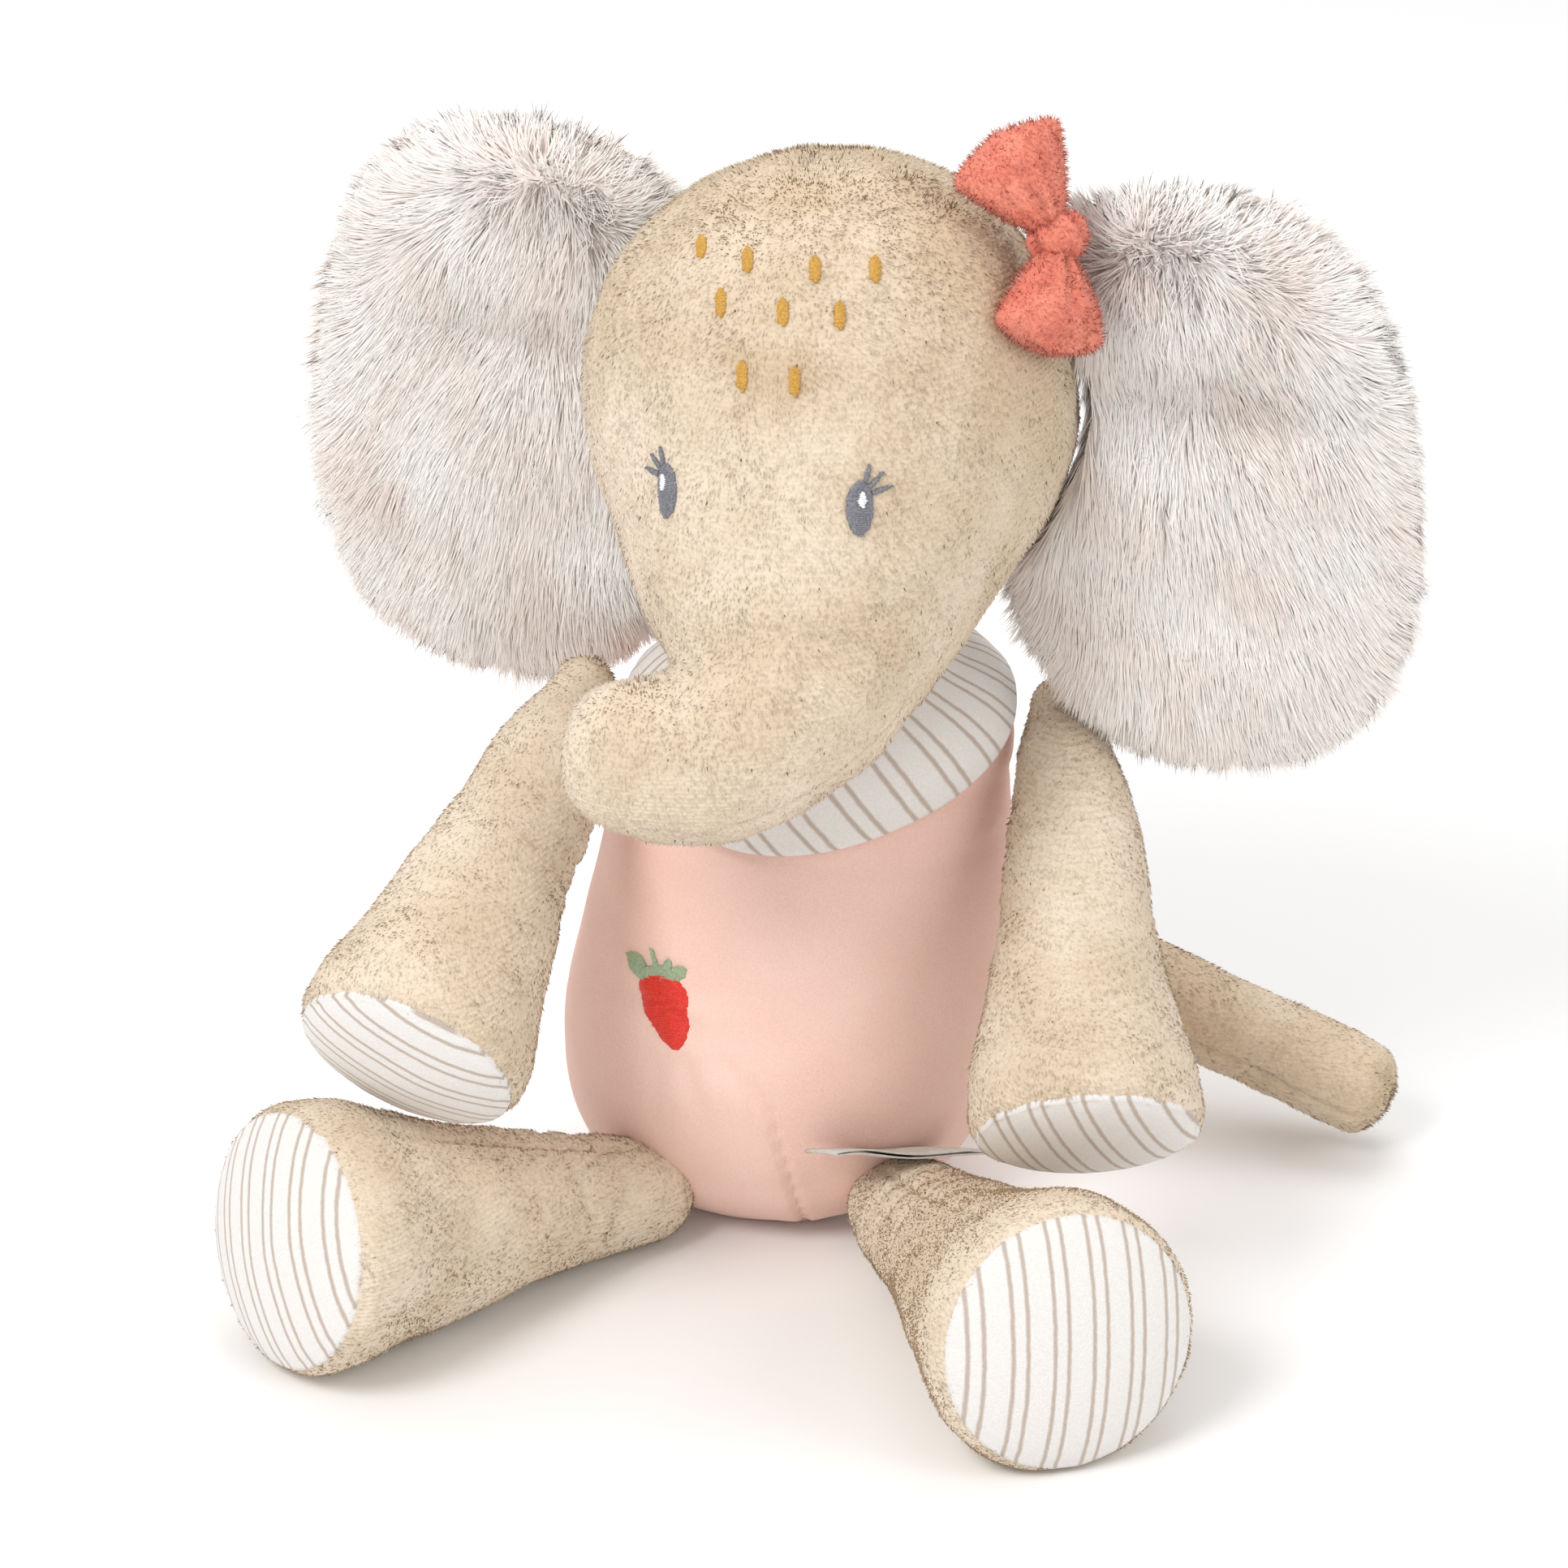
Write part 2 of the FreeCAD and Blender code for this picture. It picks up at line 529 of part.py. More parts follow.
def make_eyes():
    """Embroidered eye, its highlight and three lashes, on each side."""
    for side, azimuth, rise in (("right", -19.5, -4), ("left", 23.5, -2.5)):
        sign = -1 if side == "right" else 1
        place = on_head(azimuth, rise, size("trim_gap") + 0.25)
        eye = keep(stitched_oval(side + "_eye_fill", "eye_width", "eye_height"), side + "_eye", place)
        over = Placement(Vector(0.4 * sign, 1.6, size("stitch_height") + size("seam_gap")), Rotation())
        keep(stitched_oval(side + "_highlight_fill", "highlight_width", "highlight_height"),
             side + "_eye_highlight", place.multiply(over))
        lashes = []
        for index, angle in enumerate((18, 45, 72)):
            lash = bound("Part::Box", "%s_lash%d" % (side, index), Length="dims.lash_length",
                         Width="dims.lash_width", Height="dims.stitch_height / 2")
            turn = Rotation(Vector(0, 0, 1), angle if sign > 0 else 180 - angle)
            root = Vector(sign * (2.2 - 0.6 * index), 3.4 + 0.75 * index, 0)
            start = root + turn.multVec(Vector(1.4, 0, 0))
            lash.Placement = place.multiply(Placement(start, turn))
            lashes.append(lash)
        group(side + "_eye_lashes", lashes)
    return eye


def make_forehead():
    """Nine satin-stitched dashes in three rows."""
    rows = [(50, (-33, -12, 12, 33)), (39, (-15, 4, 20)), (24, (-4, 9))]
    dashes = []
    for rise, azimuths in rows:
        for azimuth in azimuths:
            dash = stitched_oval("dash%d" % len(dashes), "dash_width", "dash_height")
            dash.Placement = on_head(azimuth, rise, size("trim_gap") + 0.1)
            dashes.append(dash)
    group("forehead_stitches", dashes)


def make_bow():
    """Two stuffed loops and the knot between them, sewn in front of the left ear."""
    frame = head_frame()
    middle = Vector(46, -1, 38.5)
    facing = Vector(0.35, -0.85, 0.35)
    reach = (size("knot_size") * 0.7 + size("bow_length")) / 2 + size("trim_gap") * 2
    for label, direction, front in (("bow_upper_loop", Vector(-0.47, -0.13, 0.87), facing),
                                    ("bow_lower_loop", Vector(0.14, -0.62, -0.77), Vector(0.72, -0.52, 0.46))):
        loop = bound("Part::Ellipsoid", label + "_form", Radius1="dims.bow_thickness / 2",
                     Radius2="dims.bow_length / 2", Radius3="dims.bow_width / 2")
        direction = direction.normalize()
        keep(loop, label, frame.multiply(along(middle + direction * reach, front, direction)))
    knot = bound("Part::Ellipsoid", "bow_knot_form", Radius1="dims.knot_size * 0.4",
                 Radius2="dims.knot_size * 0.35", Radius3="dims.knot_size / 2")
    keep(knot, "bow_knot", frame.multiply(along(middle, facing, Vector(0.3, 0.1, -0.95))))


def make_strawberry():
    """Embroidered berry with its leaves, on the elephant's right of the belly."""
    lift = size("trim_gap") + 0.35
    place = on_skin(torso_solid, Vector(-22, 0, 55.5), Vector(0, -1, 0), lift)
    berry = stitched_oval("berry_fill", "berry_width", "berry_height")
    keep(berry, "strawberry_berry", place)
    leaves = []
    reach = size("berry_height") / 2 + 0.3
    for index, angle in enumerate((20, 58, 90, 124, 160)):
        leaf = bound("Part::Ellipsoid", "leaf%d" % index, Radius1="dims.stitch_height / 2",
                     Radius2="dims.leaf_length / 2", Radius3="dims.leaf_width / 2")
        turn = Rotation(Vector(0, 0, 1), angle)
        middle = Vector(0, reach, size("stitch_height") / 2) + turn.multVec(Vector(size("leaf_length") * 0.62, 0, 0))
        leaf.Placement = place.multiply(Placement(middle, turn))
        leaves.append(leaf)
    group_fused("strawberry_leaves", leaves)


def group_fused(label, pieces):
    """Pieces that grow into each other, fused into one node."""
    thing = doc.addObject("Part::MultiFuse", label)
    thing.Shapes = pieces
    keep(thing, label)


def make_label():
    """Folded care label sewn into the left side seam, low down, lying over the leg."""
    strip = bound("Part::Box", "label_strip", Length="dims.label_length", Width="dims.label_width",
                  Height="dims.label_thickness")
    length_way = Vector(-0.87, -0.44, 0.225)
    width_way = Vector(0.495, -0.794, 0.359)
    keep(strip, "care_label", along(LABEL_ROOT, length_way.cross(width_way), length_way))


# ---------------------------------------------------------------- build
make_torso()
make_head()
make_trunk()
for ear_side in ("right", "left"):
    make_ear(ear_side)
for limb_side in ("right", "left"):
    make_limb(limb_side, "arm", SHOULDERS[limb_side], HANDS[limb_side], ARM_STATIONS, "hand")
    make_limb(limb_side, "leg", HIPS[limb_side], FEET[limb_side], LEG_STATIONS, "foot")
make_tail()
doc.recompute()

torso_solid = doc.getObject("torso_outer").Shape
head_solid = doc.getObject("head_outer").Shape.copy()
head_solid.Placement = along(Vector(size("head_x"), size("head_y"), size("head_z")), snout_direction())
make_eyes()
make_forehead()
make_bow()
make_strawberry()
make_label()
doc.recompute()

# ---------------------------------------------------------------- check and export
failed = [item.Name for item in doc.Objects if set(item.State) & {"Invalid", "Error"}]
if failed:
    raise RuntimeError("did not compute: %s" % ", ".join(failed))
os.makedirs("parts", exist_ok=True)
for piece in kept:
    if piece.Shape.isNull() or not piece.Shape.isValid() or piece.Shape.Volume <= 0:
        raise RuntimeError("%s has no valid solid" % piece.Label)
    piece.Shape.exportStep("parts/%s.step" % piece.Label)
print("%d sub-parts written" % len(kept))
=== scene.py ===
import math

import bpy
import numpy as np
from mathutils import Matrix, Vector
from mathutils.bvhtree import BVHTree


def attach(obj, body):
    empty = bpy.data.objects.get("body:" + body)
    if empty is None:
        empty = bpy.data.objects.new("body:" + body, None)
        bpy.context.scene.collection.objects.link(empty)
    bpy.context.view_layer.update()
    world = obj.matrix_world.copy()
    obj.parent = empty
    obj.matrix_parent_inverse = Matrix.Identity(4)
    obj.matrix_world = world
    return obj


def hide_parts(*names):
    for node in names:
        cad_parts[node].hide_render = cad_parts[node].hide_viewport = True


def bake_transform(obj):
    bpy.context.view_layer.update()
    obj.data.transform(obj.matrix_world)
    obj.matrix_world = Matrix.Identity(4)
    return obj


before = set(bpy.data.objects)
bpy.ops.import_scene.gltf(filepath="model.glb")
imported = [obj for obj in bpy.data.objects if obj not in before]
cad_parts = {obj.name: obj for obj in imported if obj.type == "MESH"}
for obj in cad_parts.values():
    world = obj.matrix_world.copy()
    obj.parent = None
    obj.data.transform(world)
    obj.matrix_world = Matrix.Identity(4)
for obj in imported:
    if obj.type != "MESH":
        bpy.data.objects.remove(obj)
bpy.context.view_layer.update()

# Lengths below are millimetres in the frame of the CAD model; meshes are scaled to metres when they are made.
MM = 0.001
TAU = 2 * math.pi
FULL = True


# ---------------------------------------------------------------- numbers
def unit(v):
    v = np.asarray(v, float)
    return v / np.maximum(np.linalg.norm(v, axis=-1, keepdims=True), 1e-9)


def ease(low, high, x):
    t = np.clip((np.asarray(x, float) - low) / (high - low), 0, 1)
    return t * t * (3 - 2 * t)


def hump(x, width):
    return np.exp(-(np.asarray(x, float) / width) ** 2)


def waves(points, length, seed, count=16):
    """Smooth noise of about -1 to 1 whose humps are some length long."""
    random = np.random.default_rng(seed)
    k = unit(random.normal(size=(count, 3))) * (TAU / length / 1.6) * random.uniform(0.6, 1.5, (count, 1))
    return np.sin(np.asarray(points) @ k.T + random.uniform(0, TAU, count)).sum(-1) / math.sqrt(count)


def curve(x, xs, ys):
    """Smooth line through the points (xs, ys)."""
    xs, ys, x = np.asarray(xs, float), np.asarray(ys, float), np.asarray(x, float)
    slope = np.gradient(ys, xs)
    i = np.clip(np.searchsorted(xs, x) - 1, 0, len(xs) - 2)
    h = xs[i + 1] - xs[i]
    t = np.clip((x - xs[i]) / h, 0, 1)
    a, b = 2 * t**3 - 3 * t**2 + 1, -2 * t**3 + 3 * t**2
    return a * ys[i] + b * ys[i + 1] + (t**3 - 2 * t**2 + t) * h * slope[i] + (t**3 - t**2) * h * slope[i + 1]


def axes(direction, side=(1, 0, 0)):
    """Columns x, y, z with z along the direction and x as near to side as it can be."""
    z = unit(direction)
    x = unit(np.asarray(side, float) - z * np.dot(side, z))
    return np.stack([x, np.cross(z, x), z], 1)


def turn_z(degrees):
    c, s = math.cos(math.radians(degrees)), math.sin(math.radians(degrees))
    return np.array([[c, -s, 0], [s, c, 0], [0, 0, 1]])


def turn_y(degrees):
    c, s = math.cos(math.radians(degrees)), math.sin(math.radians(degrees))
    return np.array([[c, 0, s], [0, 1, 0], [-s, 0, c]])


# ---------------------------------------------------------------- meshes
def build(name, points, faces, material, uv=None, shade=None):
    """Mesh object from points in mm; uv is per point, shade a number per point."""
    mesh = bpy.data.meshes.new(name)
    faces = np.asarray(faces, np.int32)
    count, corners = faces.shape
    mesh.vertices.add(len(points))
    mesh.vertices.foreach_set("co", (np.asarray(points, float) * MM).astype(np.float32).ravel())
    mesh.loops.add(count * corners)
    mesh.loops.foreach_set("vertex_index", faces.ravel())
    mesh.polygons.add(count)
    mesh.polygons.foreach_set("loop_start", np.arange(0, count * corners, corners, dtype=np.int32))
    mesh.polygons.foreach_set("use_smooth", np.ones(count, bool))
    mesh.update(calc_edges=True)
    if uv is not None:
        layer = mesh.uv_layers.new(name="OFBake")
        layer.data.foreach_set("uv", np.asarray(uv, np.float32)[faces.ravel()].ravel())
    if shade is not None:
        mesh.attributes.new("shade", "FLOAT", "POINT").data.foreach_set("value", np.asarray(shade, np.float32))
    mesh.materials.append(material)
    thing = bpy.data.objects.new(name, mesh)
    bpy.context.scene.collection.objects.link(thing)
    return thing


def grid_faces(rows, columns, wrap=True):
    i, j = np.meshgrid(np.arange(rows - 1), np.arange(columns if wrap else columns - 1), indexing="ij")
    k = (j + 1) % columns
    corners = [i * columns + j, i * columns + k, (i + 1) * columns + k, (i + 1) * columns + j]
    return np.stack(corners, -1).reshape(-1, 4)


def closed_loft(rings):
    """Points and faces of rings skinned one to the next, each end drawn shut in a small ring."""
    rings = np.asarray(rings, float)
    first, last = rings[0].mean(0), rings[-1].mean(0)
    rings = np.concatenate([[first + (rings[0] - first) * 1e-3], rings, [last + (rings[-1] - last) * 1e-3]])
    return rings.reshape(-1, 3), grid_faces(*rings.shape[:2])


def surface(thing):
    """Points and normals of a mesh object's vertices, in mm, and its triangles."""
    mesh = thing.data
    points = np.empty(len(mesh.vertices) * 3)
    mesh.vertices.foreach_get("co", points)
    normals = np.empty(len(mesh.vertices) * 3)
    mesh.vertices.foreach_get("normal", normals)
    mesh.calc_loop_triangles()
    triangles = np.empty(len(mesh.loop_triangles) * 3, np.int32)
    mesh.loop_triangles.foreach_get("vertices", triangles)
    return points.reshape(-1, 3) / MM, normals.reshape(-1, 3), triangles.reshape(-1, 3)


def skin_tree(thing):
    points, _, triangles = surface(thing)
    return BVHTree.FromPolygons([Vector(p) for p in points], triangles.tolist())


def scatter(thing, per_mm2, seed, keep=None):
    """Random points over a mesh, with its normals."""
    points, normals, triangles = surface(thing)
    a, b, c = (points[triangles[:, k]] for k in range(3))
    area = np.linalg.norm(np.cross(b - a, c - a), axis=1) / 2
    random = np.random.default_rng(seed)
    pick = random.choice(len(area), int(area.sum() * per_mm2), p=area / area.sum())
    u, v = random.random((2, len(pick), 1))
    over = (u + v) > 1
    u, v = np.where(over, 1 - u, u), np.where(over, 1 - v, v)
    spots = a[pick] + u * (b - a)[pick] + v * (c - a)[pick]
    n0, n1, n2 = (normals[triangles[pick, k]] for k in range(3))
    around = unit(n0 * (1 - u - v) + n1 * u + n2 * v)
    if keep is not None:
        held = keep(spots, around)
        spots, around = spots[held], around[held]
    return spots, around


def strands(name, material, roots, normals, lean, length, width, steps, tint, seed, droop=0.0):
    """Fibres as flat tapered blades that face outwards, with the skin's own normals so that they shade softly."""
    random = np.random.default_rng(seed)
    count = len(roots)
    direction = unit(normals + lean)
    side = unit(np.cross(direction, normals) + random.normal(scale=0.35, size=(count, 3)))
    side = unit(side - direction * (side * direction).sum(1, keepdims=True))
    length = np.broadcast_to(length, (count,))[:, None]
    rows = []
    for k in range(steps + 1):
        t = k / steps
        bend = lean * (droop * t * t) * length
        centre = roots + direction * length * t + bend
        half = side * width / 2 * (1 - 0.55 * t)
        rows += [centre - half, centre + half] if k < steps else [centre]
    points = np.stack(rows, 1)
    per = points.shape[1]
    faces = []
    for k in range(steps - 1):
        a = 2 * k
        faces += [[a, a + 1, a + 3], [a, a + 3, a + 2]]
    faces.append([per - 3, per - 2, per - 1])
    faces = (np.array(faces)[None] + per * np.arange(count)[:, None, None]).reshape(-1, 3)
    up = np.repeat([min(k // 2, steps) / steps for k in range(per - 1)] + [1.0], 1)
    uv = np.stack([np.broadcast_to(up, (count, per)), np.broadcast_to(np.asarray(tint)[:, None], (count, per))], -1)
    thing = build(name, points.reshape(-1, 3), faces, material, uv=uv.reshape(-1, 2))
    soft = np.repeat(unit(normals + 0.35 * direction), per, 0)
    thing.data.normals_split_custom_set_from_vertices(soft.astype(np.float32))
    return thing


# ---------------------------------------------------------------- materials
def colour(red, green, blue):
    """Linear colour from its 0..255 display values."""
    c = np.array([red, green, blue]) / 255
    return tuple(np.where(c <= 0.04045, c / 12.92, ((c + 0.055) / 1.055) ** 2.4)) + (1.0,)


class Shader:
    """A Principled material with a few helpers for wiring nodes."""

    def __init__(self, name, roughness=0.9, sheen=0.0, sheen_tint=(1, 1, 1, 1)):
        self.material = bpy.data.materials.new(name)
        self.material.use_nodes = True
        self.tree = self.material.node_tree
        self.bsdf = self.tree.nodes["Principled BSDF"]
        self.bsdf.inputs["Roughness"].default_value = roughness
        self.bsdf.inputs["Specular IOR Level"].default_value = 0.25
        self.bsdf.inputs["Sheen Weight"].default_value = sheen
        self.bsdf.inputs["Sheen Roughness"].default_value = 0.45
        self.bsdf.inputs["Sheen Tint"].default_value = sheen_tint

    def add(self, kind, values=(), **settings):
        node = self.tree.nodes.new(kind)
        for key, value in settings.items():
            setattr(node, key, value)
        for key, value in dict(values).items():
            if isinstance(value, bpy.types.NodeSocket):
                self.tree.links.new(value, node.inputs[key])
            else:
                node.inputs[key].default_value = value
        return node

    def place(self):
        return self.add("ShaderNodeTexCoord").outputs["Object"]

    def noise(self, scale, detail=3.0, distortion=0.0, vector=None):
        node = self.add("ShaderNodeTexNoise", {"Vector": vector or self.place(), "Scale": scale, "Detail": detail,
                                               "Distortion": distortion})
        return node.outputs["Fac"]

    def math(self, operation, a, b=0.0):
        return self.add("ShaderNodeMath", {0: a, 1: b}, operation=operation).outputs[0]

    def ramp(self, value, *stops):
        node = self.add("ShaderNodeValToRGB", {"Fac": value})
        band = node.color_ramp.elements
        while len(band) < len(stops):
            band.new(0.5)
        for element, (position, tone) in zip(band, stops):
            element.position = position
            element.color = tone if len(tone) == 4 else (*tone, 1)
        return node.outputs["Color"]

    def mix(self, factor, a, b, mode="MIX"):
        node = self.add("ShaderNodeMix", data_type="RGBA", blend_type=mode)
        for socket, value in (("Factor", factor), ("A", a), ("B", b)):
            kind = "VALUE" if socket == "Factor" else "RGBA"
            target = [s for s in node.inputs if s.name == socket and s.type == kind][0]
            if isinstance(value, bpy.types.NodeSocket):
                self.tree.links.new(value, target)
            else:
                target.default_value = value
        return [s for s in node.outputs if s.type == "RGBA"][0]

    def strand_map(self):
        """Map of a strand: X runs from its root to its tip, and Y is its tint."""
        return self.add("ShaderNodeSeparateXYZ", {0: self.add("ShaderNodeUVMap", uv_map="OFBake").outputs[0]})

    def base(self, value):
        self.tree.links.new(value, self.bsdf.inputs["Base Color"])

    def bump(self, height, strength, distance):
        node = self.add("ShaderNodeBump", {"Height": height, "Strength": strength, "Distance": distance})
        self.tree.links.new(node.outputs["Normal"], self.bsdf.inputs["Normal"])


def minky_material():
    s = Shader("minky_beige", sheen=0.25, sheen_tint=colour(255, 242, 226))
    # The shade attribute sets how dark the nap is; on the head and tail part of it is painted light and shade.
    shade = s.add("ShaderNodeAttribute", attribute_name="shade").outputs["Fac"]
    cloud = s.ramp(s.noise(130, 4, 0.5), (0.35, (0, 0, 0)), (0.7, (1, 1, 1)))
    tone = s.mix(s.math("MULTIPLY", cloud, 0.16), s.ramp(shade, (0.0, MINKY_LIGHT), (1.0, MINKY_DARK)), MINKY_DARK)
    fibre = s.ramp(s.noise(1500, 2), (0.3, (0.90, 0.90, 0.90)), (0.68, (1.03, 1.03, 1.03)))
    s.base(s.mix(1.0, tone, fibre, "MULTIPLY"))
    rows = s.add("ShaderNodeTexWave", {"Vector": s.place(), "Scale": 330, "Distortion": 2.4, "Detail": 2,
                                       "Detail Scale": 1.4}, bands_direction="Z").outputs["Fac"]
    height = s.math("ADD", s.math("MULTIPLY", rows, 0.35), s.noise(1100, 3, 0.3))
    s.bump(height, 0.55, 0.0006)
    return s.material


def minky_nap_material():
    s = Shader("minky_nap", sheen=0.2, sheen_tint=colour(255, 242, 226))
    uv = s.strand_map()
    tone = s.ramp(uv.outputs[1], (0.0, MINKY_LIGHT), (1.0, MINKY_DARK))
    s.base(s.mix(1.0, tone, s.ramp(uv.outputs[0], (0.0, (0.95, 0.95, 0.95)), (1.0, (1.05, 1.05, 1.05))), "MULTIPLY"))
    return s.material


def fur_material():
    s = Shader("fur_blush", sheen=0.5, sheen_tint=colour(255, 244, 240))
    uv = s.strand_map()
    along = s.ramp(uv.outputs[0], (0.0, colour(250, 241, 235)), (0.45, colour(255, 251, 247)),
                   (1.0, colour(255, 254, 251)))
    clump = s.ramp(uv.outputs[1], (0.0, colour(255, 255, 255)), (1.0, colour(247, 237, 232)))
    s.base(s.mix(1.0, along, clump, "MULTIPLY"))
    return s.material


def fur_hide_material():
    s = Shader("fur_hide", sheen=0.3)
    s.base(s.ramp(s.noise(300, 3), (0.3, colour(246, 236, 230)), (0.7, colour(253, 246, 241))))
    s.bump(s.noise(900, 3), 0.5, 0.0006)
    return s.material


def velour_material():
    s = Shader("velour_pink", sheen=0.45, sheen_tint=colour(255, 225, 215))
    tone = s.ramp(s.noise(24, 3, 0.4), (0.3, colour(246, 212, 200)), (0.72, colour(236, 197, 184)))
    fibre = s.ramp(s.noise(2600, 2), (0.3, (0.93, 0.93, 0.93)), (0.7, (1.03, 1.03, 1.03)))
    s.base(s.mix(1.0, tone, fibre, "MULTIPLY"))
    s.bump(s.math("ADD", s.noise(2400, 2), s.math("MULTIPLY", s.noise(260, 3), 0.6)), 0.22, 0.0005)
    return s.material


def plush_coral_material():
    s = Shader("plush_coral", sheen=0.35, sheen_tint=colour(255, 210, 200))
    tone = s.ramp(s.noise(150, 4, 0.6), (0.3, colour(236, 148, 126)), (0.7, colour(220, 120, 101)))
    fibre = s.ramp(s.noise(1500, 2), (0.3, (0.82, 0.82, 0.82)), (0.7, (1.08, 1.08, 1.08)))
    s.base(s.mix(1.0, tone, fibre, "MULTIPLY"))
    s.bump(s.noise(1100, 3, 0.3), 0.6, 0.0006)
    return s.material


def jersey_material():
    """White jersey; the map's U runs across the stripes, one unit a pair of stripes."""
    s = Shader("jersey_stripe", sheen=0.12)
    uv = s.add("ShaderNodeUVMap", uv_map="stripes").outputs[0]
    split = s.add("ShaderNodeSeparateXYZ", {0: uv})
    wobble = s.math("MULTIPLY", s.math("SUBTRACT", s.noise(420, 2), 0.5), 0.05)
    across = s.math("FRACT", s.math("ADD", split.outputs[0], wobble))
    white, taupe = colour(230, 226, 222), colour(190, 175, 163)
    stripes = s.ramp(across, (0.25, white), (0.30, taupe), (0.35, taupe), (0.40, white),
                     (0.60, white), (0.65, taupe), (0.70, taupe), (0.75, white))
    yarn = s.ramp(s.noise(2200, 2), (0.3, (0.93, 0.93, 0.93)), (0.7, (1.02, 1.02, 1.02)))
    s.base(s.mix(1.0, stripes, yarn, "MULTIPLY"))
    ribs = s.math("SINE", s.math("MULTIPLY", split.outputs[0], TAU * 18))
    courses = s.math("SINE", s.math("MULTIPLY", split.outputs[1], TAU * 18))
    s.bump(s.math("ADD", s.math("MULTIPLY", s.math("MULTIPLY", ribs, courses), 0.3), s.noise(1500, 2)), 0.3, 0.0003)
    return s.material


def thread_material(name, light, dark, roughness=0.5):
    s = Shader(name, roughness=roughness, sheen=0.15)
    s.base(s.ramp(s.noise(2400, 2), (0.3, dark), (0.7, light)))
    s.bump(s.noise(4200, 2), 0.3, 0.0002)
    return s.material


def label_material():
    s = Shader("label_satin", roughness=0.5)
    s.base(s.ramp(s.noise(700, 2), (0.3, colour(196, 194, 188)), (0.7, colour(222, 219, 212))))
    s.bump(s.noise(3000, 2), 0.25, 0.0002)
    return s.material


MINKY_LIGHT = colour(233, 217, 197)
MINKY_DARK = colour(206, 184, 155)
MINKY = minky_material()
NAP = minky_nap_material()
FUR = fur_material()
HIDE = fur_hide_material()
VELOUR = velour_material()
CORAL = plush_coral_material()
JERSEY = jersey_material()
GREY = thread_material("thread_grey", colour(140, 140, 146), colour(98, 98, 104))
WHITE = thread_material("thread_white", colour(250, 250, 252), colour(232, 232, 236))
GOLD = thread_material("thread_gold", colour(214, 168, 84), colour(176, 130, 52))
RED = thread_material("thread_red", colour(230, 70, 56), colour(206, 44, 36))
GREEN = thread_material("thread_green", colour(172, 188, 158), colour(140, 160, 128))
LABEL = label_material()


# ---------------------------------------------------------------- minky
def nap_shade(points, seed):
    """How dark the nap lies, 0 to 1: brushed patches and streaks."""
    broad = waves(points, 34, seed)
    patch = waves(points * np.array([1, 1, 0.8]), 15, seed + 1)
    fine = waves(points, 6, seed + 2)
    return np.clip(0.30 + 0.20 * broad + 0.16 * patch + 0.07 * fine, 0, 1)


def fuzz(name, skin, shade_of, seed, down=(0, 0, -1), per_mm2=2.2, length=1.2, keep=None):
    """The short nap that stands on a minky skin."""
    roots, normals = scatter(skin, per_mm2 if FULL else 1.0, seed, keep)
    random = np.random.default_rng(seed + 5)
    brushed = np.broadcast_to(unit(down), roots.shape)
    comb = brushed - normals * (brushed * normals).sum(1, keepdims=True)
    swirl = np.stack([waves(roots, 9, seed + k) for k in (11, 12, 13)], 1)
    lean = 1.9 * comb + 0.5 * swirl + random.normal(scale=0.25, size=roots.shape)
    lean -= normals * (lean * normals).sum(1, keepdims=True)
    # In the valleys between knit rows the nap is shorter and tinted darker; the darker tint is painted shade of the
    # rows.
    rows = np.sin(TAU * roots[:, 2] / 1.9 + 1.3 * waves(roots, 14, seed + 15))
    tint = np.clip(shade_of(roots) - 0.11 * rows + random.normal(scale=0.08, size=len(roots)), 0.01, 0.99)
    long = length * random.uniform(0.7, 1.15, len(roots)) * (1 + 0.2 * rows)
    return strands(name, NAP, roots - normals * 0.2, normals, lean, long, 0.34, 2, tint, seed + 9)


def finish_minky(thing, node_names, body, seed, shade_of=None, keep=None, down=(0, 0, -1)):
    shade_of = shade_of or (lambda p: nap_shade(p, seed))
    points, _, _ = surface(thing)
    if "shade" not in thing.data.attributes:
        thing.data.attributes.new("shade", "FLOAT", "POINT")
    thing.data.attributes["shade"].data.foreach_set("value", shade_of(points).astype(np.float32))
    coat = fuzz(thing.name + "_nap", thing, shade_of, seed, down, keep=keep)
    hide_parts(*node_names)
    if body:
        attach(thing, body)
        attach(coat, body)
    return coat


# ---------------------------------------------------------------- head and trunk
HEAD = np.array([11.0, -8.0, 182.0])
SNOUT_WAY = np.array([-0.1105, -0.7396, -0.6639])
SNOUT_REACH = 54.0
SNOUT = HEAD + SNOUT_WAY * SNOUT_REACH
SKULL_R, SNOUT_R, TIP_R = 49.5, 26.0, 14.5
FACE = turn_z(-18)
ARC_R, ARC_BEND = 28.0, math.radians(92)
TRUNK = axes(SNOUT_WAY, (-1, 0, 0))


def trunk_path(t):
    """Centre of the trunk; t is 0 at its root and 1 at the end of its arc."""
    angle = np.asarray(t, float)[..., None] * ARC_BEND
    beyond = np.maximum(np.asarray(t, float) - 1, 0)[..., None]
    arc = np.minimum(angle, ARC_BEND)
    flat = np.concatenate([ARC_R * (1 - np.cos(arc)), 0 * arc, ARC_R * np.sin(arc)], -1)
    end = np.array([math.sin(ARC_BEND), 0, math.cos(ARC_BEND)])
    return SNOUT + (flat + beyond * end * ARC_R * ARC_BEND) @ TRUNK.T


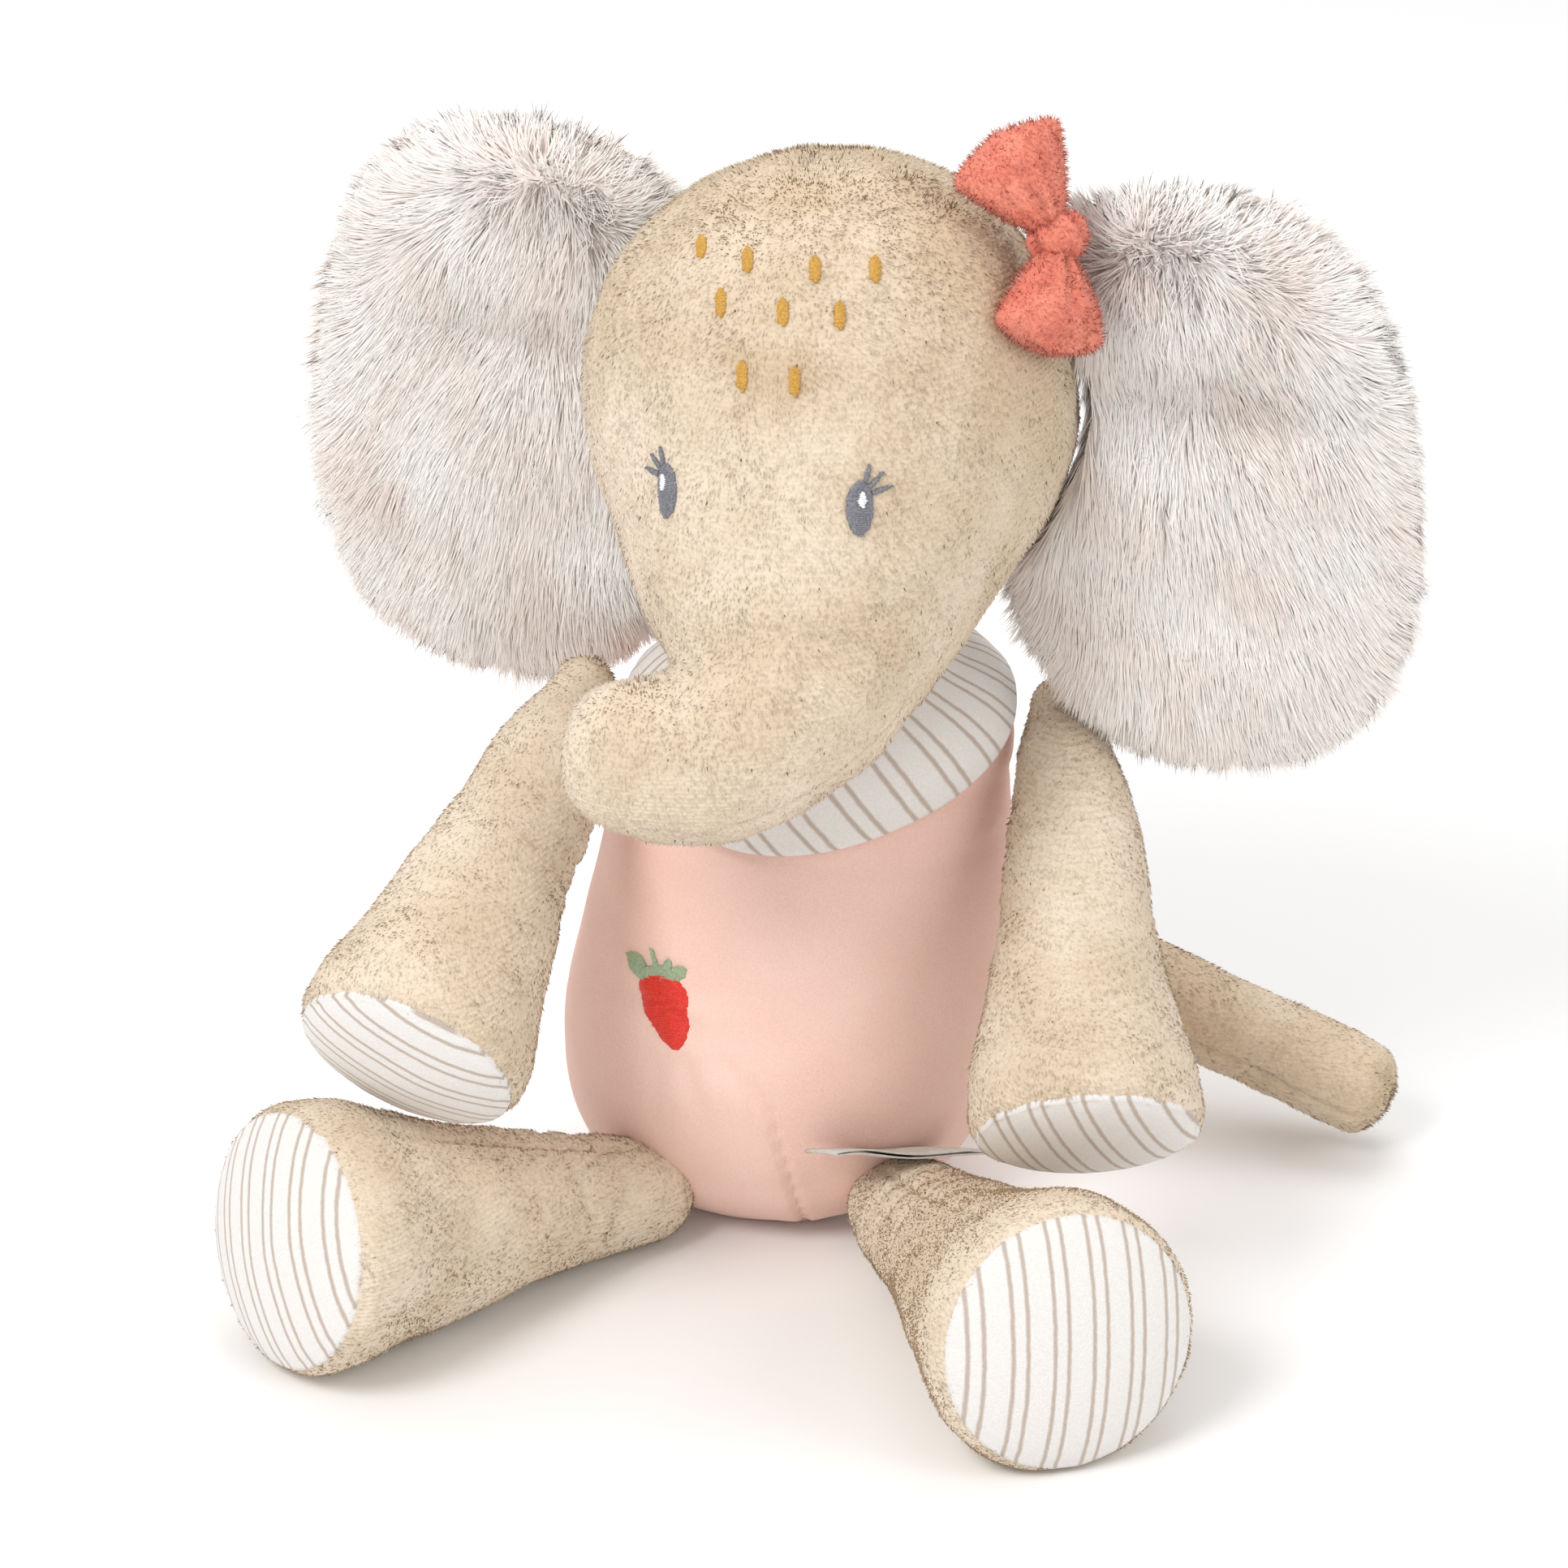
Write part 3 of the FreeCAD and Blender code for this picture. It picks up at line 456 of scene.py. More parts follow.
def head_shell():
    along_axis = np.concatenate([-SKULL_R * np.cos(np.linspace(0.03, math.pi / 2, 26)),
                                 np.linspace(2, SNOUT_REACH + 8, 26)])
    lean = (SKULL_R - SNOUT_R) / SNOUT_REACH
    touch = SKULL_R * lean
    cone_start = math.sqrt(SKULL_R**2 - touch**2)
    cone = cone_start - (along_axis - touch) * lean / math.sqrt(1 - lean**2)
    ball = np.sqrt(np.maximum(SKULL_R**2 - along_axis**2, 0))
    radius = np.where(along_axis < touch, ball, cone)
    frame_axes = axes(SNOUT_WAY, (1, 0, 0))
    angles = np.linspace(0, TAU, 96, endpoint=False)
    rings = []
    for a, r in zip(along_axis, radius):
        ring = np.stack([r * np.cos(angles), r * np.sin(angles), np.full(96, a)], 1)
        rings.append(HEAD + ring @ frame_axes.T)
    return closed_loft(rings)


def trunk_shell():
    steps = np.linspace(-0.35, 1.335, 60)
    centres = trunk_path(np.maximum(steps, 0)) + np.minimum(steps, 0)[:, None] * 45 * SNOUT_WAY
    reach = (steps - 1) * ARC_R * ARC_BEND
    radius = curve(steps, [-0.35, 0, 0.25, 0.5, 0.75, 1.0, 1.35], [27, 25.5, 22.2, 19.3, 17, 15.2, 14.6])
    radius = radius * np.sqrt(np.clip(1 - np.maximum(reach / 15.0, 0) ** 2.6, 0.0004, 1))
    angles = np.linspace(0, TAU, 72, endpoint=False)
    rings = []
    for k, (c, r) in enumerate(zip(centres, radius)):
        way = centres[min(k + 1, 59)] - centres[max(k - 1, 0)]
        m = axes(way, TRUNK[:, 1])
        rings.append(c + np.stack([r * np.cos(angles), r * np.sin(angles), 0 * angles], 1) @ m.T)
    return closed_loft(rings)


def fused(name, parts, voxel, smooth, levels, material):
    """Shells grown into one skin by a voxel remesh, smoothed, then refined."""
    points = np.concatenate([p for p, _ in parts])
    shift = np.cumsum([0] + [len(p) for p, _ in parts[:-1]])
    faces = np.concatenate([f + s for (_, f), s in zip(parts, shift)])
    thing = build(name, points, faces, material)
    remesh = thing.modifiers.new("grow", "REMESH")
    remesh.mode, remesh.voxel_size = "VOXEL", voxel * MM
    soften = thing.modifiers.new("soften", "SMOOTH")
    soften.factor, soften.iterations = 0.5, smooth
    refine = thing.modifiers.new("refine", "SUBSURF")
    refine.levels = refine.render_levels = levels
    made = bpy.data.meshes.new_from_object(thing.evaluated_get(bpy.context.evaluated_depsgraph_get()))
    thing.modifiers.clear()
    thing.data = made
    made.materials.clear()
    made.materials.append(material)
    made.polygons.foreach_set("use_smooth", np.ones(len(made.polygons), bool))
    return thing


def push(thing, amount_of):
    """Moves each point along its normal by a distance in mm."""
    points, normals, _ = surface(thing)
    moved = points + normals * amount_of(points, normals)[:, None]
    thing.data.vertices.foreach_set("co", (moved * MM).astype(np.float32).ravel())
    thing.data.update()


def head_relief(points, normals):
    lumps = 0.55 * waves(points, 34, 3) + 0.22 * waves(points, 13, 4)
    from_root = points - SNOUT
    seam = np.abs(from_root @ TRUNK[:, 1] + 2.0)
    outer = ease(-6, 4, -(from_root @ TRUNK[:, 0]) + 0.55 * (from_root @ TRUNK[:, 2]) - 14)
    groove = -0.9 * hump(seam, 0.9) * outer
    creases = 0
    for share, depth in ((0.42, 0.7), (0.62, 0.8), (0.8, 0.5)):
        at = trunk_path(np.array(share))
        way = unit(trunk_path(np.array(share + 0.02)) - at)
        distance = (points - at) @ way
        near = ease(34, 20, np.linalg.norm(points - at, axis=1))
        inner = ease(-2, 10, (points - at) @ TRUNK[:, 0])
        creases = creases - depth * hump(distance + 1.2 * waves(points, 12, 8), 1.5) * inner * near
    return lumps + groove + creases


def head_nap_and_painted_light(points):
    tone = nap_shade(points, 40)
    local = (points - HEAD) @ FACE
    # A darker band along the top of the trunk: partly brushed nap, partly painted shade.
    ridge = trunk_path(np.linspace(-0.1, 0.9, 14))
    above = ridge + TRUNK[:, 1] * 12 * np.sign(-TRUNK[1, 1])
    gap = np.min(np.linalg.norm(points[:, None] - above[None], axis=2), axis=1)
    tone = tone + 0.30 * ease(17, 6, gap)
    patches = ((-6, 24, 12, 3.0, 0.4), (8, 22, 10, 3.0, 0.35), (20, 36, 16, 9, 0.12), (-26, 30, 10, 12, 0.12))
    for x, z, wide, tall, amount in patches:
        near = hump((local[:, 0] - x) / wide, 1) * hump((local[:, 2] - z + 0.25 * np.abs(local[:, 0] - x)) / tall, 1)
        tone = tone + amount * near * (local[:, 1] < 0)
    # Forehead and the elephant's left side darker, lower right cheek lighter: partly nap tone, partly painted light and
    # shade.
    tone = tone + 0.38 * ease(2, 26, local[:, 2]) + 0.30 * ease(16, 34, local[:, 0])
    tone = tone - 0.30 * ease(-14, -32, local[:, 0]) * ease(14, -4, local[:, 2])
    return np.clip(tone, 0, 1)


def make_head():
    skin = fused("head_skin", [head_shell(), trunk_shell()], 1.7, 9, 1, MINKY)
    push(skin, head_relief)
    coat = finish_minky(skin, ["head_face_panel", "head_chin_gusset", "head_back_panel", "head_stuffing",
                               "trunk_top_panel", "trunk_underside_panel", "trunk_root_stuffing", "trunk_stuffing"],
                        None, 21, head_nap_and_painted_light)
    for thing in (skin, coat):
        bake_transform(thing)
    return skin


# ---------------------------------------------------------------- ears
EAR_HALF = np.array([43.0, 60.0])


def ear_frame(side):
    sign = 1 if side == "left" else -1
    return sign, HEAD + FACE @ np.array([sign * 72.0, 15.0, -15.0]), FACE @ turn_y(-sign * 7)


def ear_hide(side, front):
    """One face of the ear as a closed slab: the furred front with its rim and dent, or the backing."""
    sign, spot, m = ear_frame(side)
    rows, columns = 40, 120
    angles = np.linspace(0, TAU, columns, endpoint=False)
    rings = []
    if front:
        profile = [(0.02, -4.6), (0.25, -4.8), (0.5, -5.1), (0.7, -5.1), (0.84, -4.4), (0.93, -2.8), (0.97, -0.5),
                   (0.975, 1.6), (0.95, 3.4), (0.8, 4.2), (0.02, 4.2)]
    else:
        profile = [(0.02, 4.5), (0.9, 4.5), (0.955, 4.6), (0.975, 5.2), (0.95, 6.3), (0.86, 7.2), (0.6, 7.9), (0.02, 8.1)]
    steps = np.linspace(0, len(profile) - 1, rows)
    share = np.interp(steps, range(len(profile)), [p[0] for p in profile])
    depth = np.interp(steps, range(len(profile)), [p[1] for p in profile])
    for s, d in zip(share, depth):
        square = (np.abs(np.cos(angles)) ** 2.5 + np.abs(np.sin(angles)) ** 2.5) ** -0.4
        x, z = EAR_HALF[0] * s * square * np.cos(angles), EAR_HALF[1] * s * square * np.sin(angles)
        y = np.full(columns, d)
        if front and d < 0:
            y = y + 3.2 * hump((z - 18 + 0.10 * sign * x) / 9, 1) * hump(x / 30, 1) - 0.8 * hump((z - 34) / 10, 1)
            y = y + 1.0 * waves(np.stack([x, 0 * x, z], 1), 26, 51 + (sign > 0))
        ring = np.stack([x, y, z], 1)
        world = spot + ring @ m.T
        inside = world - HEAD
        reach = np.linalg.norm((inside @ FACE)[:, [0, 2]], axis=1)
        wanted = np.maximum(reach, SKULL_R + 0.9)
        flat = inside @ FACE
        flat[:, [0, 2]] *= (wanted / reach)[:, None]
        rings.append(HEAD + flat @ FACE.T)
    points, faces = closed_loft(rings)
    return points, faces[:, ::-1]


def make_ear(side):
    sign, spot, m = ear_frame(side)
    hide = build(side + "_ear_hide", *ear_hide(side, True), HIDE)
    back = build(side + "_ear_backing", *ear_hide(side, False), MINKY)
    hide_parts(side + "_ear_fur_front", side + "_ear_wadding")
    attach(hide, side + "_ear")
    finish_minky(back, [side + "_ear_back_panel"], side + "_ear", 60 + sign,
                 keep=lambda p, n: ((p - spot) @ m)[:, 1] > 4.6)

    def furred(points, normals):
        local, facing = (points - spot) @ m, normals @ m
        return (local[:, 1] < 3.2) & (facing[:, 1] < 0.5)

    roots, normals = scatter(hide, 4.2 if FULL else 2.4, 70 + sign, furred)
    random = np.random.default_rng(80 + sign)
    local = (roots - spot) @ m
    outward = unit(np.stack([local[:, 0] / 43, 0 * local[:, 0], local[:, 2] / 60], 1) + 1e-6)
    rim = ease(0.62, 1.0, np.hypot(local[:, 0] / 43, local[:, 2] / 60))[:, None]
    down = np.array([0.15 * sign, 0, -1.0])
    comb = (down * (1.0 - 0.55 * rim) + outward * (0.25 + 0.75 * rim)) @ m.T
    clump = np.floor(local[:, [0, 2]] / 3.4 + 0.9 * np.stack([waves(roots, 12, 90), waves(roots, 12, 91)], 1))
    code = (clump[:, 0] * 73 + clump[:, 1] * 179).astype(int) % 4096
    table = np.random.default_rng(95).normal(size=(4096, 4))
    lean = 3.0 * comb + 0.36 * table[code, :3] + random.normal(scale=0.26, size=roots.shape)
    lean += 0.22 * np.stack([waves(roots, 22, 96), waves(roots, 22, 97), waves(roots, 22, 98)], 1)
    lean -= normals * (lean * normals).sum(1, keepdims=True)
    long = random.uniform(6.0, 9.4, len(roots)) * (1 + 0.08 * table[code, 3]) * (1 - 0.34 * rim[:, 0])
    tint = np.clip(0.38 + 0.22 * waves(roots, 16, 99) + 0.10 * table[code, 3] + random.normal(scale=0.12, size=len(roots)),
                   0.01, 0.99)
    fur = strands(side + "_ear_fur", FUR, roots - normals * 0.3, normals, lean, long, 0.36, 3, tint, 101, droop=0.10)
    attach(fur, side + "_ear")


# ---------------------------------------------------------------- torso
LEVELS = [0, 6, 18, 36, 62, 92, 112, 129]
HALF_WIDTHS = [24, 34, 43, 47, 45, 41, 38.5, 18]
HALF_DEPTHS = [20, 29, 36.5, 41, 39, 33.5, 27.5, 15]


def torso_point(z, angle, lift=0.0):
    z, angle = np.asarray(z, float), np.asarray(angle, float)
    a, b = curve(z, LEVELS, HALF_WIDTHS), curve(z, LEVELS, HALF_DEPTHS)
    slope = (curve(z + 0.5, LEVELS, HALF_WIDTHS) - curve(z - 0.5, LEVELS, HALF_WIDTHS))
    out = np.stack([np.cos(angle) / a, np.sin(angle) / b, -slope / (a + b) * 2 + 0 * angle], -1)
    spot = np.stack([0.082 * z + a * np.cos(angle), 4 + b * np.sin(angle), z + 0 * angle], -1)
    return spot + unit(out) * np.asarray(lift)[..., None]


def make_torso():
    z = np.concatenate([np.linspace(0, 8, 14), np.linspace(9, 128, 130)])
    angles = np.linspace(0, TAU, 220, endpoint=False)
    zz, aa = np.meshgrid(z, angles, indexing="ij")
    points = torso_point(zz, aa)
    front = -np.sin(aa)
    relief = 0.5 * waves(points, 38, 5) + 0.12 * waves(points, 12, 6)
    relief *= ease(0, 6, zz)
    dart = points[..., 0] + 1.5 - (40 - zz) * 0.21
    relief -= 1.3 * hump(dart, 0.8) * (front > 0) * ease(43, 33, zz) * ease(0, 4, zz)
    relief += 0.5 * hump(dart, 4.5) * (front > 0) * ease(46, 30, zz)
    berry = np.array([-22.0, 57.0])
    dx, dz = points[..., 0] - berry[0], zz - berry[1]
    pucker = hump(np.hypot(dx / 1.3, dz) / 14, 1) * (front > 0)
    relief += 0.35 * pucker * np.cos(5 * np.arctan2(dz, dx))
    for x0, z0, run, rise, depth in ((-19, 49, 7, -26, 1.0), (-24, 48, -1, -24, 0.7), (-14, 50, 16, -16, 0.5)):
        way = unit([run, rise])
        s = (points[..., 0] - x0) * way[0] + (zz - z0) * way[1]
        d = (points[..., 0] - x0) * way[1] - (zz - z0) * way[0]
        relief -= depth * hump(d, 2.2) * ease(0, 5, s) * ease(24, 10, s) * (front > 0)
    for level, depth in ((98, 0.5), (86, 0.4)):
        relief -= depth * hump(zz - level + 3 * waves(points * [1, 1, 0], 40, 9), 2.0) * (front > 0)
    relief -= 0.7 * hump((np.abs(np.cos(aa)) - 1) / 0.0009, 1) * ease(2, 8, zz)
    points = torso_point(zz, aa, relief)
    points[0, :, 2] = 0.0
    skin = build("torso_skin", *closed_loft(points), VELOUR)
    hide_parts("torso_front_panel", "torso_back_panel", "torso_stuffing")
    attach(skin, "torso")
    return skin


# ---------------------------------------------------------------- limbs
def limb_relief(kind, side, t, angle, length, points):
    amount = 0.5 * waves(points, 24, 7 + len(side)) + 0.16 * waves(points, 9, 8 + len(side))
    if kind == "arm":
        centre = math.radians(-60 if side == "right" else -100)
        for share, depth in ((0.26, 0.9), (0.33, 1.1), (0.40, 1.2), (0.47, 0.9), (0.54, 0.5)):
            wobble = 2.0 * np.sin(2.1 * angle + 9 * share)
            reach = 0.5 + 0.5 * np.cos(angle - centre - 3 * (share - 0.4))
            amount = amount - depth * hump(t - share * length + wobble, 1.5) * reach**2
    else:
        for share, depth in ((0.16, 0.7), (0.27, 0.7), (0.40, 0.4)):
            wobble = 2.0 * np.sin(1.7 * angle + 11 * share)
            amount = amount - depth * hump(t - share * length + wobble, 1.6) * (0.5 + 0.5 * np.cos(angle - 1.2))
    return amount


def make_limb(kind, side, start, end, length, root_r, stations, pad_r, bulge, stripe_turn, seam_angles):
    name, body = side + "_" + kind, side + "_" + kind
    start, end = np.array(start, float), np.array(end, float)
    m = axes(end - start)
    t = np.concatenate([-root_r * np.cos(np.linspace(0.05, math.pi / 2, 12)), np.linspace(1, length - 4, 110),
                        length - 4 + 4 * np.sin(np.linspace(0.1, math.pi / 2, 9))])
    share = np.clip(t / length, 0, 1)
    radius = curve(share, [s for s, _ in stations], [r for _, r in stations])
    radius = np.where(t < 0, np.sqrt(np.maximum(root_r**2 - t**2, 0.01)), radius)
    radius = radius - 2.4 * (1 - np.sqrt(np.clip(1 - np.clip((t - length + 4) / 4, 0, 1) ** 2, 0, 1)))
    columns = 160
    angles = np.linspace(0, TAU, columns, endpoint=False)
    tt, aa = np.meshgrid(t, angles, indexing="ij")
    rr = np.repeat(radius[:, None], columns, 1)
    local = np.stack([rr * np.cos(aa), rr * np.sin(aa), tt], -1)
    world = start + local @ m.T
    relief = limb_relief(kind, side, tt, aa, length, world) * ease(0, 8, tt) * ease(length, length - 8, tt)
    for seam in seam_angles:
        gap = (aa - math.radians(seam) + math.pi) % TAU - math.pi
        relief -= 0.9 * hump(gap * rr, 0.9) * ease(0, 10, tt)
    stitch = 0.35 * np.abs(np.sin(aa * pad_r / 3.2)) * hump(tt - length + 1.2, 1.4)
    rr = np.maximum(rr + relief - stitch, 0.3)
    local = np.stack([rr * np.cos(aa), rr * np.sin(aa), tt], -1)
    world = start + local @ m.T
    world[..., 2] = np.maximum(world[..., 2], 0.9 + 0.1 * np.minimum(world[..., 2], 0))
    sleeve = build(name + "_skin", *closed_loft(world), MINKY)
    finish_minky(sleeve, [name + "_sleeve", name + "_stuffing"], body, 130 + len(name) * 3,
                 keep=lambda p, n: (p[:, 2] > 1.4) & (((p - start) @ m)[:, 2] < length - 0.3), down=end - start)

    rows = 40
    edge = pad_r + 0.6
    share = np.linspace(0.02, 1, rows)
    disc = np.concatenate([share, [1.0, 1.0, 0.6, 0.02]])
    height = np.concatenate([bulge * (1 - share**2.2) ** 0.9 + 0.1, [-1.2, -2.2, -2.4, -2.4]])
    dd, ab = np.meshgrid(disc, angles, indexing="ij")
    x, y = edge * dd * np.cos(ab), edge * dd * np.sin(ab)
    rise = height[:, None] + 0.30 * waves(np.stack([x, y, 0 * x], -1), 17, 33 + len(name)) * (1 - dd) * (height > 0)[:, None]
    gather = 0.28 * np.abs(np.sin(ab * pad_r / 3.2)) * hump((dd - 0.96) / 0.04, 1)
    local = np.stack([x, y, length + rise - gather], -1)
    points, faces = closed_loft(start + local @ m.T)
    pad = build(name + "_pad_skin", points, faces[:, ::-1], JERSEY)
    flat = np.concatenate([local[:1], local, local[-1:]]).reshape(-1, 3)
    c, s = math.cos(math.radians(stripe_turn)), math.sin(math.radians(stripe_turn))
    stripe_map(pad, np.stack([flat[:, 0] * c + flat[:, 1] * s, -flat[:, 0] * s + flat[:, 1] * c], 1))
    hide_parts(name + "_pad")
    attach(pad, body)


STRIPE_PITCH = 8.2


def stripe_map(thing, flat):
    """Map for the striped jersey: mm on the flat cloth, one unit a pair of stripes."""
    mesh = thing.data
    layer = mesh.uv_layers.new(name="stripes")
    corner = np.empty(len(mesh.loops), np.int32)
    mesh.loops.foreach_get("vertex_index", corner)
    layer.data.foreach_set("uv", (np.asarray(flat)[corner] / STRIPE_PITCH + 50).astype(np.float32).ravel())


# ---------------------------------------------------------------- tail, scarf, label
def make_tail():
    start, end = np.array([15, 57.5, 52.0]), np.array([134, 13, 11.5])
    way = end - start
    length = 130.0
    m = axes(way, (0, 0, 1))
    t = np.concatenate([-7 * np.cos(np.linspace(0.05, math.pi / 2, 8)), np.linspace(1, length - 8, 90),
                        length - 8 + 8 * np.sin(np.linspace(0.1, 1.5, 12))])
    angles = np.linspace(0, TAU, 90, endpoint=False)
    tt, aa = np.meshgrid(t, angles, indexing="ij")
    radius = np.where(tt < 0, np.sqrt(np.maximum(1 - (tt / 7) ** 2, 0.01)) * 10.2, 10.3)
    end_round = np.clip((tt - length + 8) / 8, 0, 1)
    radius = radius * (1 - end_round**3.2 * 0.72)
    local = np.stack([radius * np.cos(aa), radius * np.sin(aa), tt], -1)
    world = start + local @ m.T
    relief = 0.35 * waves(world, 20, 71) + 0.15 * waves(world, 8, 72)
    gap = (aa - math.radians(100) + math.pi) % TAU - math.pi
    relief -= 0.8 * hump(gap * radius, 0.8)
    radius = radius + relief * ease(0, 8, tt) * ease(length, length - 6, tt)
    world = start + np.stack([radius * np.cos(aa), radius * np.sin(aa), tt], -1) @ m.T
    world[..., 2] = np.maximum(world[..., 2], 1.0)
    skin = build("tail_skin", *closed_loft(world), MINKY)
    # The tail's nap is darkened all over: partly its own tone, partly painted shade.
    finish_minky(skin, ["tail_sleeve", "tail_stuffing"], "tail", 170, lambda p: np.clip(nap_shade(p, 170) + 0.35, 0, 1),
                 down=way, keep=lambda p, n: p[:, 2] > 1.5)


HEM_ANGLES = [-180, -167, -114, -59, -13, 40, 90, 150, 180]
HEM_LEVELS = [115, 112, 92.5, 98.5, 112, 117, 118, 117, 115]


def make_scarf():
    angles = np.linspace(-math.pi, math.pi, 260, endpoint=False)
    hem = curve(np.degrees(angles), HEM_ANGLES, HEM_LEVELS)
    profile = [(0.0, 2.2), (0.15, 2.6), (0.35, 2.9), (0.6, 3.0), (0.85, 3.2), (0.95, 3.3), (0.985, 2.9), (1.0, 2.0),
               (0.985, 1.1), (0.9, 0.7), (0.5, 0.6), (0.0, 0.6)]
    steps = np.linspace(0, len(profile) - 1, 66)
    rings, flats = [], []
    for step in steps:
        down = np.interp(step, range(len(profile)), [p[0] for p in profile])
        lift = np.interp(step, range(len(profile)), [p[1] for p in profile])
        z = 124.0 + (hem - 124.0) * down
        base = torso_point(z, angles)
        folds = 0.9 * waves(base * [0.6, 0.6, 1.4], 26, 61) * (lift > 1.5) * ease(0, 0.3, down)
        swell = 0.9 * hump(down - 0.55, 0.35) * (lift > 1.5)
        rings.append(torso_point(z, angles, lift + folds * 0.6 + swell))
        flats.append(np.stack([angles * 36, 124 - z], 1))
    points = np.array(rings)
    flat = np.array(flats)
    points_all, faces = closed_ring(points)
    scarf = build("scarf_cloth", points_all, faces[:, ::-1], JERSEY)
    tilt = math.radians(-38)
    across = flat[..., 0] * math.cos(tilt) + flat[..., 1] * math.sin(tilt)
    down_way = -flat[..., 0] * math.sin(tilt) + flat[..., 1] * math.cos(tilt)
    stripe_map(scarf, np.stack([across, down_way], -1).reshape(-1, 2))
    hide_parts("neck_scarf")
    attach(scarf, "torso")


def closed_ring(rings):
    """Points and faces of a ring of sections that closes on itself both ways."""
    rows, columns = rings.shape[:2]
    faces = grid_faces(rows, columns)
    j = np.arange(columns)
    k = (j + 1) % columns
    last = np.stack([(rows - 1) * columns + j, (rows - 1) * columns + k, k, j], 1)
    return rings.reshape(-1, 3), np.concatenate([faces, last])


def make_label():
    root = np.array([38.6, -24.0, 20.6])
    way, across = unit([-0.87, -0.44, 0.225]), unit([0.495, -0.794, 0.359])
    up = np.cross(across, way)
    up = up if up[2] > 0 else -up
    reach = 37.0
    s = np.linspace(0, 1, 46)
    out = reach * s
    lower = np.stack([out, 0.30 + 0.5 * np.sin(s * 9) * s], 1)
    upper = np.stack([out[::-1], 0.30 + 0.5 * np.sin(s[::-1] * 9 + 0.3) * s[::-1] + 0.75], 1)
    line = np.concatenate([lower, [[reach + 0.5, lower[-1, 1] + 0.4]], upper])
    normal = np.gradient(line, axis=0)[:, ::-1] * [-1, 1]
    normal = unit(normal)
    rings = []
    for p, n in zip(line, normal):
        for_ring = []
        for w, h in ((-6.5, -0.15), (-3, -0.15), (0, -0.15), (3, -0.15), (6.5, -0.15), (6.5, 0.15), (3, 0.15),
                     (0, 0.15), (-3, 0.15), (-6.5, 0.15)):
            spot = p + n * h
            for_ring.append(root + way * spot[0] + up * spot[1] + across * (w + 6.5) + up * 0.25 * math.sin(p[0] / 5 + w / 4))
        rings.append(for_ring)
    strip = build("label_strip", *closed_loft(rings), LABEL)
    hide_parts("care_label")
    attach(strip, "label")


# ---------------------------------------------------------------- bow
def bow_loop(name, node, middle, direction, facing, seed):
    m = axes(facing, direction)
    rows, columns = 46, 72
    angles = np.linspace(0, TAU, columns, endpoint=False)
    rings = []
    for t in np.linspace(0.0, 1.0, rows):
        wide = 3.0 + 10.6 * t**0.75
        wide = wide * math.sqrt(max(1 - max((t - 0.66) / 0.34, 0) ** 2.8, 0.0)) + 0.2
        thick = (2.8 + 4.2 * math.sin(math.pi * min(t * 0.86 + 0.06, 1))) * math.sqrt(max(1 - t**7, 0.0)) + 0.15
        v = np.cos(angles)
        cusp = 3.0 * ease(0.55, 1.0, t) * np.abs(v) ** 2
        crease = -1.5 * (1 - t) ** 1.3 * (hump(v - 0.05, 0.20) + 0.7 * hump(v - 0.6, 0.16) + 0.7 * hump(v + 0.5, 0.16))
        crease = crease - 0.9 * (1 - t) * hump(v + 0.85, 0.12)
        w = wide * v
        h = thick * np.sin(angles) + np.sign(np.sin(angles)) * crease * np.abs(np.sin(angles)) ** 0.5
        x = t * 20.0 - cusp * 0.4
        local = np.stack([x + 0 * w, w, h], 1)
        rings.append(middle + local @ m.T)
    points, faces = closed_loft(rings)
    points = points + 0.45 * waves(points, 9, seed)[:, None] * m[:, 2]
    loop = build(name, points, faces, CORAL)
    soft_coat(loop, seed)
    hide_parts(node)
    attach(loop, "head")


def soft_coat(thing, seed):
    roots, normals = scatter(thing, 3.0 if FULL else 0.5, seed + 1)
    random = np.random.default_rng(seed + 2)
    lean = random.normal(scale=0.55, size=roots.shape)
    lean -= normals * (lean * normals).sum(1, keepdims=True)
    tint = np.clip(0.5 + 0.3 * waves(roots, 6, seed + 3) + random.normal(scale=0.15, size=len(roots)), 0.01, 0.99)
    coat = strands(thing.name + "_pile", CORAL_PILE, roots - normals * 0.15, normals, lean,
                   random.uniform(0.9, 1.8, len(roots)), 0.22, 2, tint, seed + 4)
    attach(coat, "head")


def coral_pile_material():
    s = Shader("coral_pile", sheen=0.3, sheen_tint=colour(255, 210, 200))
    uv = s.strand_map()
    s.base(s.ramp(uv.outputs[1], (0.0, colour(243, 156, 134)), (1.0, colour(222, 118, 99))))
    return s.material


CORAL_PILE = coral_pile_material()


def make_bow():
    middle = HEAD + FACE @ np.array([46.0, -1.0, 38.5])
    front = FACE @ unit([0.35, -0.85, 0.35])
    bow_loop("bow_upper", "bow_upper_loop", middle + FACE @ (unit([-0.47, -0.13, 0.87]) * 3.5),
             FACE @ unit([-0.47, -0.13, 0.87]), front, 210)
    bow_loop("bow_lower", "bow_lower_loop", middle + FACE @ (unit([0.14, -0.62, -0.77]) * 3.5),
             FACE @ unit([0.14, -0.62, -0.77]), FACE @ unit([0.72, -0.52, 0.46]), 220)
    m = axes(front, FACE @ np.array([0.3, 0.1, -0.95]))
    angles = np.linspace(0, TAU, 60, endpoint=False)
    rings = []
    for t in np.linspace(-0.98, 0.98, 30):
        r = math.sqrt(1 - t * t)
        wrinkle = 1 + 0.10 * np.cos(6 * angles + 1.5 * t)
        local = np.stack([5.4 * t + 0 * angles, 5.6 * r * np.cos(angles) * wrinkle, 4.6 * r * np.sin(angles) * wrinkle + 0.8], 1)
        rings.append(middle + local @ m.T)
    knot = build("bow_knot_skin", *closed_loft(rings), CORAL)
    soft_coat(knot, 230)
    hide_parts("bow_knot")
    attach(knot, "head")


